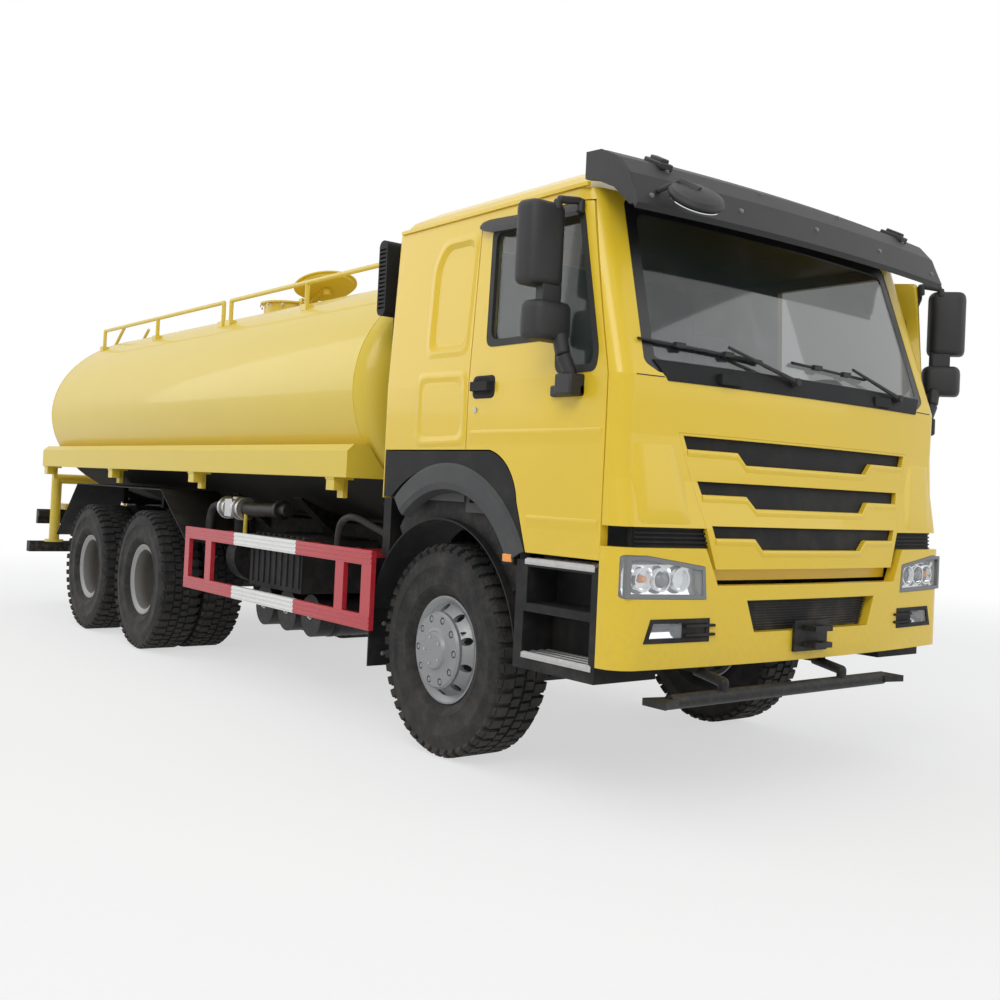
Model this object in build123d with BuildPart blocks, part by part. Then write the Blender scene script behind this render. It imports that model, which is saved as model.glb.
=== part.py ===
from build123d import *
import os
from math import cos, degrees, radians, sin, sqrt

# A 6x4 cab-over water tanker: a sleeper cab that tilts on a ladder frame, an oval steel tank on
# saddles, a driven twin-wheel bogie and a steered front axle.
# While it is drawn, X runs forwards from the front axle, Y to the left of the centreline and Z up
# from the road, in millimetres. Finished pieces are moved by PLACE, to the middle of the footprint.

# ---------------------------------------------------------------- wheels and axles
WHEELBASE = 4300  # front axle to middle axle
BOGIE_SPACING = 1350  # middle axle to rear axle
TYRE_R = 562.5
TYRE_W = 315
FRONT_TRACK = 2022
REAR_TRACK = 1830
TWIN_SPACING = 350
RIM_FLANGE_R = 285
RIM_WELL_R = 254
RIM_HALF_W = 118
RIM_WALL = 12
HUB_PCD = 335
HUB_BOLTS = 10
HAND_HOLES = 10
SPINDLE_R = 45
BEARING_GAP = 0.3
AXLE_Z = TYRE_R
FRONT_TYRE_Y = FRONT_TRACK / 2
OUTER_TWIN_Y = REAR_TRACK / 2 + TWIN_SPACING / 2
INNER_TWIN_Y = REAR_TRACK / 2 - TWIN_SPACING / 2
REAR_AXLES = (-WHEELBASE, -WHEELBASE - BOGIE_SPACING)
BOGIE_X = -WHEELBASE - BOGIE_SPACING / 2
KINGPIN_Y = 850
KINGPIN_R = 26

# ---------------------------------------------------------------- frame
RAIL_H = 300
RAIL_FLANGE = 80
RAIL_WALL = 12
FRAME_HALF_W = 425
FRAME_TOP_Z = 1010
FRAME_FRONT_X = 1290
FRAME_REAR_X = -7560
FRAME_BOTTOM_Z = FRAME_TOP_Z - RAIL_H
CROSSMEMBERS_X = (1170, -1760, -2700, -3500, BOGIE_X, -6350, FRAME_REAR_X + 60)
CROSSMEMBER_W = 110

# ---------------------------------------------------------------- cab
CAB_HALF_W = 1235
CAB_WALL = 44
CAB_REAR_X = -572
CAB_BASE_Z = 1300
GUTTER_Z = 2835
GUTTER_HALF_W = 1190
ROOF_Z = 3010
ROOF_SHOULDER_W = 1085
SILL_X = 1475  # foot of the windscreen, on the centreline
SILL_Z = 1960
HEADER_X = 1175  # head of the windscreen
NOSE_X = 1528  # foremost point of the grille
PLAN_R = 9100  # bow of the whole front in plan
CORNER_R = 95
REAR_CORNER_R = 50
GRILLE_FOOT_Z = 1105
FLOOR_T = 50
PANEL_GAP = 7
SNUG = 0.3  # between faces that lie against each other
DOOR_REAR_X = 262
DOOR_FRONT_X = 1318
DOOR_FRONT_TOP_X = 1100
DOOR_TOP_Z = 2768
DOOR_FOOT_Z = 1134
DOOR_ARCH_Z = 1620
DOOR_ARCH_X = 790
DOOR_HINGE_X = DOOR_FRONT_X - 14
DOOR_HINGE_Y = CAB_HALF_W + 3
DOOR_OPEN_DEG = 52  # the left door stands open
GLASS_T = 8
TILT_X = 1420
TILT_Z = 1160

# ---------------------------------------------------------------- bumper and steps
BUMPER_FOOT_Z = 668
BUMPER_TOP_Z = 1200
BUMPER_MID_Z = 1032
NOTCH_TOP_W = 768  # half width of the dip that clears the grille as the cab tilts
NOTCH_FOOT_W = 684
BUMPER_WALL = 60
BUMPER_HALF_W = 1245
BUMPER_X = 1545
BUMPER_END_X = 1331
STEP_REAR_X = 735
STEP_FRONT_X = BUMPER_END_X - 12
STEP_INNER_Y = 860
STEP_OUTER_Y = 1238

# ---------------------------------------------------------------- tank
TANK_A = 1200  # half width
TANK_B = 870  # half height
TANK_MID_Z = 2000
TANK_FRONT_X = -1000
TANK_REAR_X = -7100
TANK_DISH = 190
SKIRT_FRONT_X = -941
SKIRT_REAR_X = -7155
SKIRT_HALF_W = 1248
SKIRT_FOOT_Z = 1455
SKIRT_TOP_Z = 1614
SKIRT_CREST_Z = 1655
MANHOLE_X = -4310
MANHOLE_R = 280
MANHOLE_WALL = 12
MANHOLE_TOP_Z = 2975
MANHOLE_DEPTH = 900
LID_R = 265
LID_OPEN_DEG = 161
SUBFRAME_H = 120

SPRAY_X = 1610
NOZZLE_HALF_W = 70
UNDERRUN_X = -7780
UNDERRUN_H = 110
X_MAX = SPRAY_X + NOZZLE_HALF_W
X_MIN = UNDERRUN_X - UNDERRUN_H / 2


def reach_y(a, b):
    """Y of a point of the open left door, given its place from the hinge with the door shut."""
    return DOOR_HINGE_Y - a * sin(radians(DOOR_OPEN_DEG)) + b * cos(radians(DOOR_OPEN_DEG))


MIRROR_OUT_Y = 1498
Y_MAX = reach_y(DOOR_REAR_X - DOOR_HINGE_X, CAB_HALF_W - DOOR_HINGE_Y)
Y_MIN = -MIRROR_OUT_Y
PLACE = Pos(-(X_MAX + X_MIN) / 2, -(Y_MAX + Y_MIN) / 2, 0)

os.makedirs("parts", exist_ok=True)


def finish(part, label):
    """Moves a finished piece to the shared origin and writes it."""
    placed = PLACE * part
    placed.label = label
    export_step(placed, f"parts/{label}.step")
    print(label, round(placed.volume / 1e6, 2), "litres", len(placed.solids()), "solids")


# ================================================================ wheels
def wheel_plane(x, y, side):
    """A plane through a wheel's middle whose normal points outwards; side is 1 left, -1 right."""
    return Plane(origin=(x, y, AXLE_Z), x_dir=(1, 0, 0), z_dir=(0, side, 0))


def tyre(x, y, side):
    half = TYRE_W / 2
    bead = RIM_HALF_W - 6
    with BuildPart() as part:
        plane = wheel_plane(x, y, side)
        with BuildSketch(Plane(plane.origin, x_dir=plane.x_dir, z_dir=(0, 0, 1))) as section:
            with BuildLine():
                # local x is the radius, local y is across the tyre
                Line((TYRE_R, -half + 45), (TYRE_R, half - 45))
                Line((TYRE_R, half - 45), (TYRE_R - 14, half - 18))
                ThreePointArc((TYRE_R - 14, half - 18), (430, half), (RIM_FLANGE_R + 8, bead))
                Line((RIM_FLANGE_R + 8, bead), (RIM_WELL_R + 4, bead - 12))
                Line((RIM_WELL_R + 4, bead - 12), (RIM_WELL_R + 4, -bead + 12))
                Line((RIM_WELL_R + 4, -bead + 12), (RIM_FLANGE_R + 8, -bead))
                ThreePointArc((RIM_FLANGE_R + 8, -bead), (430, -half), (TYRE_R - 14, -half + 18))
                Line((TYRE_R - 14, -half + 18), (TYRE_R, -half + 45))
            make_face()
        revolve(axis=Axis(plane.origin, (0, 1, 0)))
    return part.part


def ring(plane, points):
    """A closed outline of (radius, outward distance) points turned about a wheel's axle."""
    side = plane.z_dir.Y
    with BuildPart() as part:
        with BuildSketch(Plane(plane.origin, x_dir=plane.x_dir, z_dir=(0, 0, 1))):
            with BuildLine():
                Polyline([(r, t * side) for r, t in points], close=True)
            make_face()
        revolve(axis=Axis(plane.origin, (0, 1, 0)))
    return part.part


def rim_barrel(plane):
    w, f = RIM_HALF_W, RIM_FLANGE_R
    seat, inner = RIM_WELL_R, RIM_WELL_R - RIM_WALL
    return ring(plane, [
        (f, w), (f, w - 8), (seat + 3, w - 12), (seat, w - 20), (seat, -w + 20),
        (seat + 3, -w + 12), (f, -w + 8), (f, -w), (f - 10, -w), (inner, -w + 18),
        (inner, w - 18), (f - 10, w),
    ])


def rim_disc(plane, face_t, toward):
    """The dished disc from the barrel to the bolting face, at face_t from the middle plane."""
    r_out = RIM_WELL_R - RIM_WALL / 2
    root = face_t - toward * 95
    return ring(plane, [
        (r_out, root), (r_out, root + toward * 40), (205, face_t), (60, face_t),
        (60, face_t - toward * 14), (196, face_t - toward * 14), (r_out - 14, root + toward * 20),
    ])


def cut_hand_holes(part, plane, t_mid):
    """The row of ventilation holes round a disc's cone."""
    with BuildPart() as disc:
        add(part)
        with BuildSketch(plane.offset(t_mid - 70)):
            with PolarLocations(222, HAND_HOLES, start_angle=18):
                Circle(21)
        extrude(amount=140, mode=Mode.SUBTRACT)
    return disc.part


def front_wheel(side):
    plane = wheel_plane(0, side * FRONT_TYRE_Y, side)
    face_t = 150
    with BuildPart() as part:
        add(rim_barrel(plane))
        add(cut_hand_holes(rim_disc(plane, face_t, 1), plane, 100))
        # hub and brake drum, one casting here
        add(ring(plane, [(0, face_t + 6), (150, face_t + 6), (150, 60), (208, 60), (208, -96),
                         (190, -96), (190, -60), (0, -60)]))
        # wheel trim: a dished cover with a raised centre cap
        add(ring(plane, [(0, face_t + 50), (92, face_t + 50), (98, face_t + 44), (104, face_t + 34),
                         (120, face_t + 30), (192, face_t + 26), (204, face_t + 14),
                         (206, face_t - 2), (0, face_t - 2)]))
        with BuildSketch(plane.offset(face_t + 60)):
            with PolarLocations(HUB_PCD / 2, HUB_BOLTS):
                Circle(19)
        extrude(amount=-52, mode=Mode.SUBTRACT)
        with BuildSketch(plane.offset(face_t + 2)):
            with PolarLocations(HUB_PCD / 2, HUB_BOLTS):
                RegularPolygon(14, 6)
        extrude(amount=24)
        with BuildSketch(plane.offset(-97)):
            Circle(SPINDLE_R + BEARING_GAP)
        extrude(amount=97 + 70, mode=Mode.SUBTRACT)
    return part.part


def twin_wheels(x, side):
    outer = wheel_plane(x, side * OUTER_TWIN_Y, side)
    inner = wheel_plane(x, side * INNER_TWIN_Y, side)
    face = TWIN_SPACING / 2
    with BuildPart() as part:
        add(rim_barrel(outer))
        add(rim_barrel(inner))
        add(cut_hand_holes(rim_disc(outer, -face, -1), outer, -110))
        add(cut_hand_holes(rim_disc(inner, face, 1), inner, 110))
        # driven hub with its end cover, and the brake drum inside the inner rim
        add(ring(outer, [(0, -20), (70, -20), (78, -28), (105, -34), (118, -70), (128, -78),
                         (128, -face), (0, -face)]))
        add(ring(inner, [(0, face), (208, face), (208, -40), (188, -40), (188, 10), (0, 10)]))
        with BuildSketch(outer.offset(-face)):
            with PolarLocations(HUB_PCD / 2, HUB_BOLTS):
                RegularPolygon(16, 6)
        extrude(amount=34)
        with BuildSketch(inner.offset(-41)):
            Circle(SPINDLE_R + BEARING_GAP)
        extrude(amount=41 + 90, mode=Mode.SUBTRACT)
    return part.part


for side, name in ((1, "left"), (-1, "right")):
    finish(tyre(0, side * FRONT_TYRE_Y, side), f"front_tyre_{name}")
    finish(front_wheel(side), f"front_wheel_{name}")
    for axle_x, axle in zip(REAR_AXLES, ("middle", "rear")):
        pair = [tyre(axle_x, side * y, side) for y in (OUTER_TWIN_Y, INNER_TWIN_Y)]
        finish(Compound(children=pair), f"{axle}_tyres_{name}")
        finish(twin_wheels(axle_x, side), f"{axle}_wheels_{name}")


# ================================================================ front axle and steering
BEAM_Z = AXLE_Z - 95
BEAM_W = 90
BEAM_H = 110
EYE_R = 48
EYE_H = 120
KNUCKLE_H = 250
ARM_X = -230  # the steering arms' ball joints lie behind the axle
ARM_Y = KINGPIN_Y  # level with the kingpins, so that the linkage stays a parallelogram
ARM_Z = AXLE_Z - 150
SPRING_Y = 395
SPRING_W = 90

with BuildPart() as front_axle:
    # drop-forged beam: it dips under the engine and rises to the kingpin eyes
    with BuildSketch(Plane.YZ) as outline:
        with BuildLine():
            Polyline([
                (-KINGPIN_Y, AXLE_Z + EYE_H / 2), (-KINGPIN_Y, AXLE_Z - EYE_H / 2),
                (-KINGPIN_Y + EYE_R + 8, AXLE_Z - EYE_H / 2), (-560, BEAM_Z - BEAM_H), (560, BEAM_Z - BEAM_H),
                (KINGPIN_Y - EYE_R - 8, AXLE_Z - EYE_H / 2), (KINGPIN_Y, AXLE_Z - EYE_H / 2),
                (KINGPIN_Y, AXLE_Z + EYE_H / 2),
                (KINGPIN_Y - 70, AXLE_Z + EYE_H / 2), (540, BEAM_Z),
                (-540, BEAM_Z), (-KINGPIN_Y + 70, AXLE_Z + EYE_H / 2),
            ], close=True)
        make_face()
    extrude(amount=BEAM_W / 2, both=True)
    # the web is thinner than the two flanges
    for face in (1, -1):
        with BuildSketch(Plane.YZ.offset(face * BEAM_W / 2)):
            with Locations((0, BEAM_Z - BEAM_H / 2)):
                Rectangle(1000, BEAM_H - 44)
        extrude(amount=-face * 28, mode=Mode.SUBTRACT)
    for side in (1, -1):
        with Locations((0, side * KINGPIN_Y, AXLE_Z)):
            Cylinder(EYE_R, EYE_H)
            Cylinder(KINGPIN_R + BEARING_GAP, EYE_H, mode=Mode.SUBTRACT)
        # spring seats
        with Locations((0, side * SPRING_Y, BEAM_Z + 12)):
            Box(180, SPRING_W + 30, 24)
finish(front_axle.part, "front_axle")


def knuckle(side):
    """Steering knuckle: a fork on the kingpin, the wheel spindle and the tie-rod arm."""
    y = side * KINGPIN_Y
    with BuildPart() as part:
        ear_h = (KNUCKLE_H - EYE_H) / 2 - 2
        for up in (1, -1):
            with Locations((0, y, AXLE_Z + up * (EYE_H / 2 + 2 + ear_h / 2))):
                Cylinder(EYE_R, ear_h)
        with Locations((0, y, AXLE_Z)):
            Cylinder(KINGPIN_R, KNUCKLE_H)
        with Locations((0, y + side * 68, AXLE_Z)):
            Box(110, 26, KNUCKLE_H)
        for up in (1, -1):
            with Locations((0, y + side * 34, AXLE_Z + up * (EYE_H / 2 + 2 + ear_h / 2))):
                Box(EYE_R * 2 - 10, 68, ear_h)
        hub_end = FRONT_TYRE_Y + 62
        start = KINGPIN_Y + 60
        with BuildSketch(Plane((0, side * start, AXLE_Z), x_dir=(1, 0, 0), z_dir=(0, side, 0))):
            Circle(SPINDLE_R)
        extrude(amount=hub_end - start)
        # the arm runs back, below the fork, to the tie-rod ball
        with BuildSketch(Plane.XY.offset(ARM_Z - 18)):
            with BuildLine():
                Polyline([(-20, y + side * 81), (-20, y + side * 30), (ARM_X - 26, side * ARM_Y - side * 26),
                          (ARM_X - 26, side * ARM_Y + side * 26)], close=True)
            make_face()
        extrude(amount=36)
        with Locations((0, y + side * 55, ARM_Z + 10)):
            Box(90, 50, 56)
        with Locations((ARM_X, side * ARM_Y, ARM_Z + 34)):
            Cylinder(13, 34)
    return part.part


for side, name in ((1, "left"), (-1, "right")):
    finish(knuckle(side), f"knuckle_{name}")

TIE_Z = ARM_Z + 50
with BuildPart() as tie_rod:
    with BuildSketch(Plane.XZ.offset(-ARM_Y)):
        with Locations((ARM_X, TIE_Z)):
            Circle(17)
    extrude(amount=2 * ARM_Y)
    for side in (1, -1):
        with Locations((ARM_X, side * ARM_Y, TIE_Z)):
            Cylinder(29, 46)
            Cylinder(13 + BEARING_GAP, 46, mode=Mode.SUBTRACT)
finish(tie_rod.part, "tie_rod")


# ================================================================ frame, springs, rear axles
with BuildPart() as frame_rails:
    for side in (1, -1):
        with BuildSketch(Plane.YZ.offset(FRAME_REAR_X)):
            with Locations((side * (FRAME_HALF_W - RAIL_FLANGE / 2), FRAME_TOP_Z - RAIL_H / 2)):
                Rectangle(RAIL_FLANGE, RAIL_H)
            with Locations((side * (FRAME_HALF_W - RAIL_WALL - RAIL_FLANGE / 2), FRAME_TOP_Z - RAIL_H / 2)):
                Rectangle(RAIL_FLANGE, RAIL_H - 2 * RAIL_WALL, mode=Mode.SUBTRACT)
        extrude(amount=FRAME_FRONT_X - FRAME_REAR_X)
    # pressed channel crossmembers, their webs upright; the one over the engine hangs low
    for x in CROSSMEMBERS_X:
        h = 150
        z = FRAME_BOTTOM_Z + 20 + h / 2 if x == CROSSMEMBERS_X[0] else FRAME_TOP_Z - 30 - h / 2
        with Locations((x, 0, z)):
            Box(CROSSMEMBER_W, 2 * (FRAME_HALF_W - RAIL_WALL), h)
            Box(CROSSMEMBER_W - 2 * RAIL_WALL, 2 * (FRAME_HALF_W - RAIL_FLANGE) - 2, h, mode=Mode.SUBTRACT)
finish(frame_rails.part, "chassis_frame")


def leaf_pack(x, y, z_seat, half_len, leaves, leaf_t, rise):
    """A stack of leaves, each shorter than the one before, lying on z_seat."""
    with BuildPart() as part:
        for i in range(leaves):
            length = half_len * (1 - 0.72 * i / leaves)
            z = z_seat + (leaves - 1 - i) * leaf_t
            with BuildSketch(Plane.XZ.offset(-(y + SPRING_W / 2))):
                with BuildLine():
                    tip = rise * (length / half_len) ** 2
                    ThreePointArc((x - length, z + tip), (x, z), (x + length, z + tip))
                    Line((x + length, z + tip), (x + length, z + tip + leaf_t))
                    ThreePointArc((x + length, z + tip + leaf_t), (x, z + leaf_t),
                                  (x - length, z + tip + leaf_t))
                    Line((x - length, z + tip + leaf_t), (x - length, z + tip))
                make_face()
            extrude(amount=SPRING_W)
    return part.part


FRONT_SPRING_Z = BEAM_Z + 24
FRONT_SPRING_HALF = 700
with BuildPart() as front_spring:
    add(leaf_pack(0, SPRING_Y, FRONT_SPRING_Z, FRONT_SPRING_HALF, 5, 14, 120))
    # hangers from the spring's ends up to the rail
    for end in (1, -1):
        x = end * FRONT_SPRING_HALF
        with Locations((x, SPRING_Y, (FRONT_SPRING_Z + 150 + FRAME_BOTTOM_Z) / 2)):
            Box(70, 60, FRAME_BOTTOM_Z - FRONT_SPRING_Z - 150)
        with Locations(Location((x, SPRING_Y, FRONT_SPRING_Z + 182), (90, 0, 0))):
            Cylinder(34, SPRING_W)
    mirror(about=Plane.XZ)

REAR_SPRING_Y = 505
REAR_SPRING_Z = AXLE_Z + 75
TRUNNION_Z = AXLE_Z + 10
with BuildPart() as rear_spring:
    add(leaf_pack(BOGIE_X, REAR_SPRING_Y, REAR_SPRING_Z, BOGIE_SPACING / 2 + 60, 9, 18, -35))
    # trunnion seat under the pack, and the bracket that hangs it from the rail
    with Locations((BOGIE_X, REAR_SPRING_Y, (TRUNNION_Z + REAR_SPRING_Z) / 2 + 10)):
        Box(190, SPRING_W + 10, REAR_SPRING_Z - TRUNNION_Z + 26)
    with Locations(Location((BOGIE_X, REAR_SPRING_Y - 40, TRUNNION_Z), (90, 0, 0))):
        Cylinder(70, 170)
    with BuildSketch(Plane.XZ.offset(-(FRAME_HALF_W + 24))):
        with BuildLine():
            Polyline([(BOGIE_X - 230, FRAME_BOTTOM_Z + 200), (BOGIE_X + 230, FRAME_BOTTOM_Z + 200),
                      (BOGIE_X + 80, TRUNNION_Z - 60), (BOGIE_X - 80, TRUNNION_Z - 60)], close=True)
        make_face()
    extrude(amount=23.7)
    mirror(about=Plane.XZ)

with BuildPart() as springs:
    add(front_spring.part)
    add(rear_spring.part)
finish(springs.part, "leaf_springs")

AXLE_TUBE_R = 75
DIFF_R = 235
with BuildPart() as rear_axle:
    for x in REAR_AXLES:
        with BuildSketch(Plane.XZ.offset(-(INNER_TWIN_Y - 60))):
            with Locations((x, AXLE_Z)):
                Circle(AXLE_TUBE_R)
        extrude(amount=2 * (INNER_TWIN_Y - 60))
        with BuildSketch(Plane.XZ.offset(-(INNER_TWIN_Y + 80))):
            with Locations((x, AXLE_Z)):
                Circle(SPINDLE_R)
        extrude(amount=2 * (INNER_TWIN_Y + 80))
        # banjo housing and its nose towards the propshaft
        with BuildSketch(Plane.XZ.offset(-150)):
            with Locations((x, AXLE_Z)):
                Circle(DIFF_R)
        extrude(amount=300, taper=0)
        with Locations(Location((x + 260, 0, AXLE_Z + 60), (0, 90, 0))):
            Cylinder(85, 260)
        # spring pads and brake back plates
        for side in (1, -1):
            with Locations((x, side * REAR_SPRING_Y, AXLE_Z + 50)):
                Box(170, SPRING_W + 20, 50)
            with Locations(Location((x, side * (INNER_TWIN_Y - 68), AXLE_Z), (90, 0, 0))):
                Cylinder(165, 14)
finish(rear_axle.part, "rear_axles")

ENGINE_X = (-760, 900)
ENGINE_Z = (700, 1490)
GEARBOX_REAR_X = -1650
with BuildPart() as engine:
    with Locations(((ENGINE_X[0] + ENGINE_X[1]) / 2, 0, (ENGINE_Z[0] + ENGINE_Z[1]) / 2)):
        Box(ENGINE_X[1] - ENGINE_X[0], 620, ENGINE_Z[1] - ENGINE_Z[0])
    with BuildSketch(Plane.YZ.offset(ENGINE_X[0])):
        with Locations((0, 850)):
            RectangleRounded(460, 420, 60)
    extrude(amount=GEARBOX_REAR_X - ENGINE_X[0], taper=4)
    # radiator and its fan ring, ahead of the engine
    with Locations((1010, 0, 1030)):
        Box(110, 680, 500)
    with Locations(Location((935, 0, 1090), (0, 90, 0))):
        Cylinder(250, 40)
finish(engine.part, "engine_block")

PROP_R = 55
SHAFT_Z = 760  # gearbox output
NOSE_AT = 390  # from an axle to its driving flange
with BuildPart() as prop:
    start = Vector(GEARBOX_REAR_X - 20, 0, SHAFT_Z)
    end = Vector(REAR_AXLES[0] + NOSE_AT + 20, 0, AXLE_Z + 60)
    with BuildSketch(Plane(origin=start, x_dir=(0, 1, 0), z_dir=end - start)):
        Circle(PROP_R)
    extrude(amount=(end - start).length)
    for x, z in ((GEARBOX_REAR_X - 14, SHAFT_Z), (REAR_AXLES[0] + NOSE_AT + 14, AXLE_Z + 60)):
        with Locations(Location((x, 0, z), (0, 90, 0))):
            Cylinder(PROP_R + 22, 27.4)
    with BuildSketch(Plane.YZ.offset(REAR_AXLES[1] + NOSE_AT + SNUG)):
        with Locations((0, AXLE_Z + 60)):
            Circle(PROP_R - 10)
    extrude(amount=REAR_AXLES[0] - REAR_AXLES[1] - DIFF_R - NOSE_AT + 10)
    with Locations(Location((REAR_AXLES[0], 0, AXLE_Z), (90, 0, 0))):
        Cylinder(DIFF_R + SNUG, 320, mode=Mode.SUBTRACT)
finish(prop.part, "propshafts")


# ================================================================ cab
WIDE = 1400
# where the door's edge leaves its foot and runs over the wheel arch
ARCH_FRONT = (DOOR_ARCH_X - 85, 1370)
ARCH_BEND = (DOOR_ARCH_X - 160, 1530)
ARCH_BACK = (DOOR_ARCH_X - 330, DOOR_ARCH_Z)


# height, foremost x on the centreline, half width and rearmost x of each level of the cab's form
CAB_LEVELS = (
    (1050, NOSE_X, CAB_HALF_W, CAB_REAR_X),
    (1290, NOSE_X - 8, CAB_HALF_W, CAB_REAR_X),
    (1500, SILL_X + 8, CAB_HALF_W, CAB_REAR_X),
    (1700, SILL_X - 3, CAB_HALF_W, CAB_REAR_X),
    (SILL_Z, SILL_X, CAB_HALF_W, CAB_REAR_X),
    (GUTTER_Z, HEADER_X, GUTTER_HALF_W, CAB_REAR_X),
    (2915, 1060, ROOF_SHOULDER_W + 30, CAB_REAR_X + 10),
    (2990, 900, ROOF_SHOULDER_W - 110, CAB_REAR_X + 60),
    (ROOF_Z + 25, 560, ROOF_SHOULDER_W - 430, CAB_REAR_X + 260),
)


def cab_form(inset, low=1050):
    """The cab's outer form, drawn in by inset: bowed in plan, leaning in above the waist."""
    with BuildPart() as part:
        for z, front, half, rear in CAB_LEVELS:
            top = z > 2900
            level = z - inset if top else z
            half_in = half - inset
            with BuildSketch(Plane.XY.offset(level)):
                with BuildLine():
                    bow = half_in ** 2 / (2 * PLAN_R)
                    corner_x = front - inset - bow
                    ThreePointArc((corner_x, -half_in), (front - inset, 0), (corner_x, half_in))
                    Polyline([(corner_x, half_in), (rear + inset, half_in), (rear + inset, -half_in),
                              (corner_x, -half_in)])
                make_face()
                fillet(vertices().group_by(Axis.X)[-1], max(CORNER_R - inset, 12))
                fillet(vertices().group_by(Axis.X)[0], max(REAR_CORNER_R - inset, 6))
        loft(ruled=True)
    return part.part


def box_between(low, high):
    """A block from its low corner to its high corner."""
    with BuildPart() as part:
        with Locations(tuple((low[i] + high[i]) / 2 for i in range(3))):
            Box(high[0] - low[0], high[1] - low[1], high[2] - low[2])
    return part.part


def door_outline(grow):
    """The door's edge in side view, moved out by grow."""
    with BuildSketch() as face:
        with BuildLine():
            Polyline([(DOOR_REAR_X, DOOR_ARCH_Z), (DOOR_REAR_X, DOOR_TOP_Z), (DOOR_FRONT_TOP_X, DOOR_TOP_Z),
                      (DOOR_FRONT_X, SILL_Z), (DOOR_FRONT_X, DOOR_FOOT_Z), (DOOR_ARCH_X, DOOR_FOOT_Z),
                      ARCH_FRONT])
            ThreePointArc(ARCH_FRONT, ARCH_BEND, ARCH_BACK)
            Line(ARCH_BACK, (DOOR_REAR_X, DOOR_ARCH_Z))
        make_face()
        if grow:
            offset(amount=grow, kind=Kind.INTERSECTION)
    return face.sketch


def window_outline(grow):
    """The door window's edge, with the drop in its sill below the mirror."""
    with BuildSketch() as face:
        with BuildLine():
            Polyline([(375, 2735), (400, 2150), (915, 2150), (955, 2110), (965, 1985), (1225, 1985),
                      (1235, 2060), (1050, 2735)], close=True)
        make_face()
        fillet(vertices(), 28)
        if grow:
            offset(amount=grow, kind=Kind.INTERSECTION)
    return face.sketch


def screen_outline(grow):
    """The windscreen's edge in front view."""
    with BuildSketch() as face:
        with BuildLine():
            Polyline([(-1085, 2020), (-1018, 2805), (1018, 2805), (1085, 2020), (1010, SILL_Z + 18),
                      (-1010, SILL_Z + 18)], close=True)
        make_face()
        fillet(vertices(), 40)
        if grow:
            offset(amount=grow, kind=Kind.INTERSECTION)
    return face.sketch


def grille_outline(grow):
    """The grille's edge in front view."""
    with BuildSketch() as face:
        with BuildLine():
            Polyline([(-887, 1718), (887, 1718), (668, 1060), (-668, 1060)], close=True)
        make_face()
        if grow:
            offset(amount=grow, kind=Kind.INTERSECTION)
    return face.sketch


outer_form = cab_form(0)
inner_form = cab_form(CAB_WALL)
SIDE_CUT = Plane.XZ.offset(-WIDE)  # cuts run from here across the whole cab
FRONT_CUT = Plane.YZ.offset(900)

# the welded cab shell with its doorways and windscreen opening
with BuildPart() as shell:
    add(outer_form)
    add(inner_form, mode=Mode.SUBTRACT)
    with BuildSketch(SIDE_CUT):
        add(door_outline(PANEL_GAP))
    extrude(amount=2 * WIDE, mode=Mode.SUBTRACT)
    with BuildSketch(FRONT_CUT):
        add(screen_outline(0))
    extrude(amount=800, mode=Mode.SUBTRACT)

# two pressed recesses in each quarter panel
RECESS_DEPTH = 14
with BuildPart() as recess:
    add(cab_form(-20))
    add(cab_form(RECESS_DEPTH), mode=Mode.SUBTRACT)
    with BuildSketch(SIDE_CUT):
        with BuildLine():
            Polyline([(-140, 2140), (195, 2140), (215, 2715), (-60, 2715), (-140, 2600)], close=True)
        make_face()
    extrude(amount=2 * WIDE, mode=Mode.INTERSECT)

SKIN_FOOT_Z = 1352  # foot of the side and rear panels
with BuildPart() as cab_body:
    add(shell.part)
    side_band = box_between((CAB_REAR_X - 10, -WIDE, SKIN_FOOT_Z), (NOSE_X + 50, WIDE, GUTTER_Z))
    add(side_band, mode=Mode.INTERSECT)
    add(box_between((DOOR_FRONT_X - 90, -WIDE, 1000), (NOSE_X + 50, WIDE, SILL_Z)), mode=Mode.SUBTRACT)
    add(recess.part, mode=Mode.SUBTRACT)
    for side in (1, -1):
        with BuildSketch(Plane.XZ.offset(-side * WIDE)):
            with Locations((20, 1840)):
                RectangleRounded(400, 335, 35)
        extrude(amount=side * (WIDE - CAB_HALF_W + RECESS_DEPTH), mode=Mode.SUBTRACT)
    # the black trim takes the place of the skin round the wheel arch; the rear wall clears the engine
    for side in (1, -1):
        low, high = (1100, WIDE) if side == 1 else (-WIDE, -1100)
        arch_gap = box_between((CAB_REAR_X + CAB_WALL, low, 1000), (DOOR_FRONT_X, high, DOOR_ARCH_Z))
        add(arch_gap, mode=Mode.SUBTRACT)
    add(box_between((CAB_REAR_X - 20, -400, 1000), (CAB_REAR_X + 100, 400, 1590)), mode=Mode.SUBTRACT)
finish(cab_body.part, "cab_body")

with BuildPart() as cab_roof:
    add(shell.part)
    add(box_between((CAB_REAR_X - 10, -WIDE, GUTTER_Z), (NOSE_X, WIDE, ROOF_Z + 100)), mode=Mode.INTERSECT)
    # rain gutter along each side
    for side in (1, -1):
        with Locations(((CAB_REAR_X + HEADER_X) / 2 - 20, side * (GUTTER_HALF_W + 1), GUTTER_Z + 10)):
            Box(HEADER_X - CAB_REAR_X - 140, 22, 18)
finish(cab_roof.part, "cab_roof")

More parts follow.
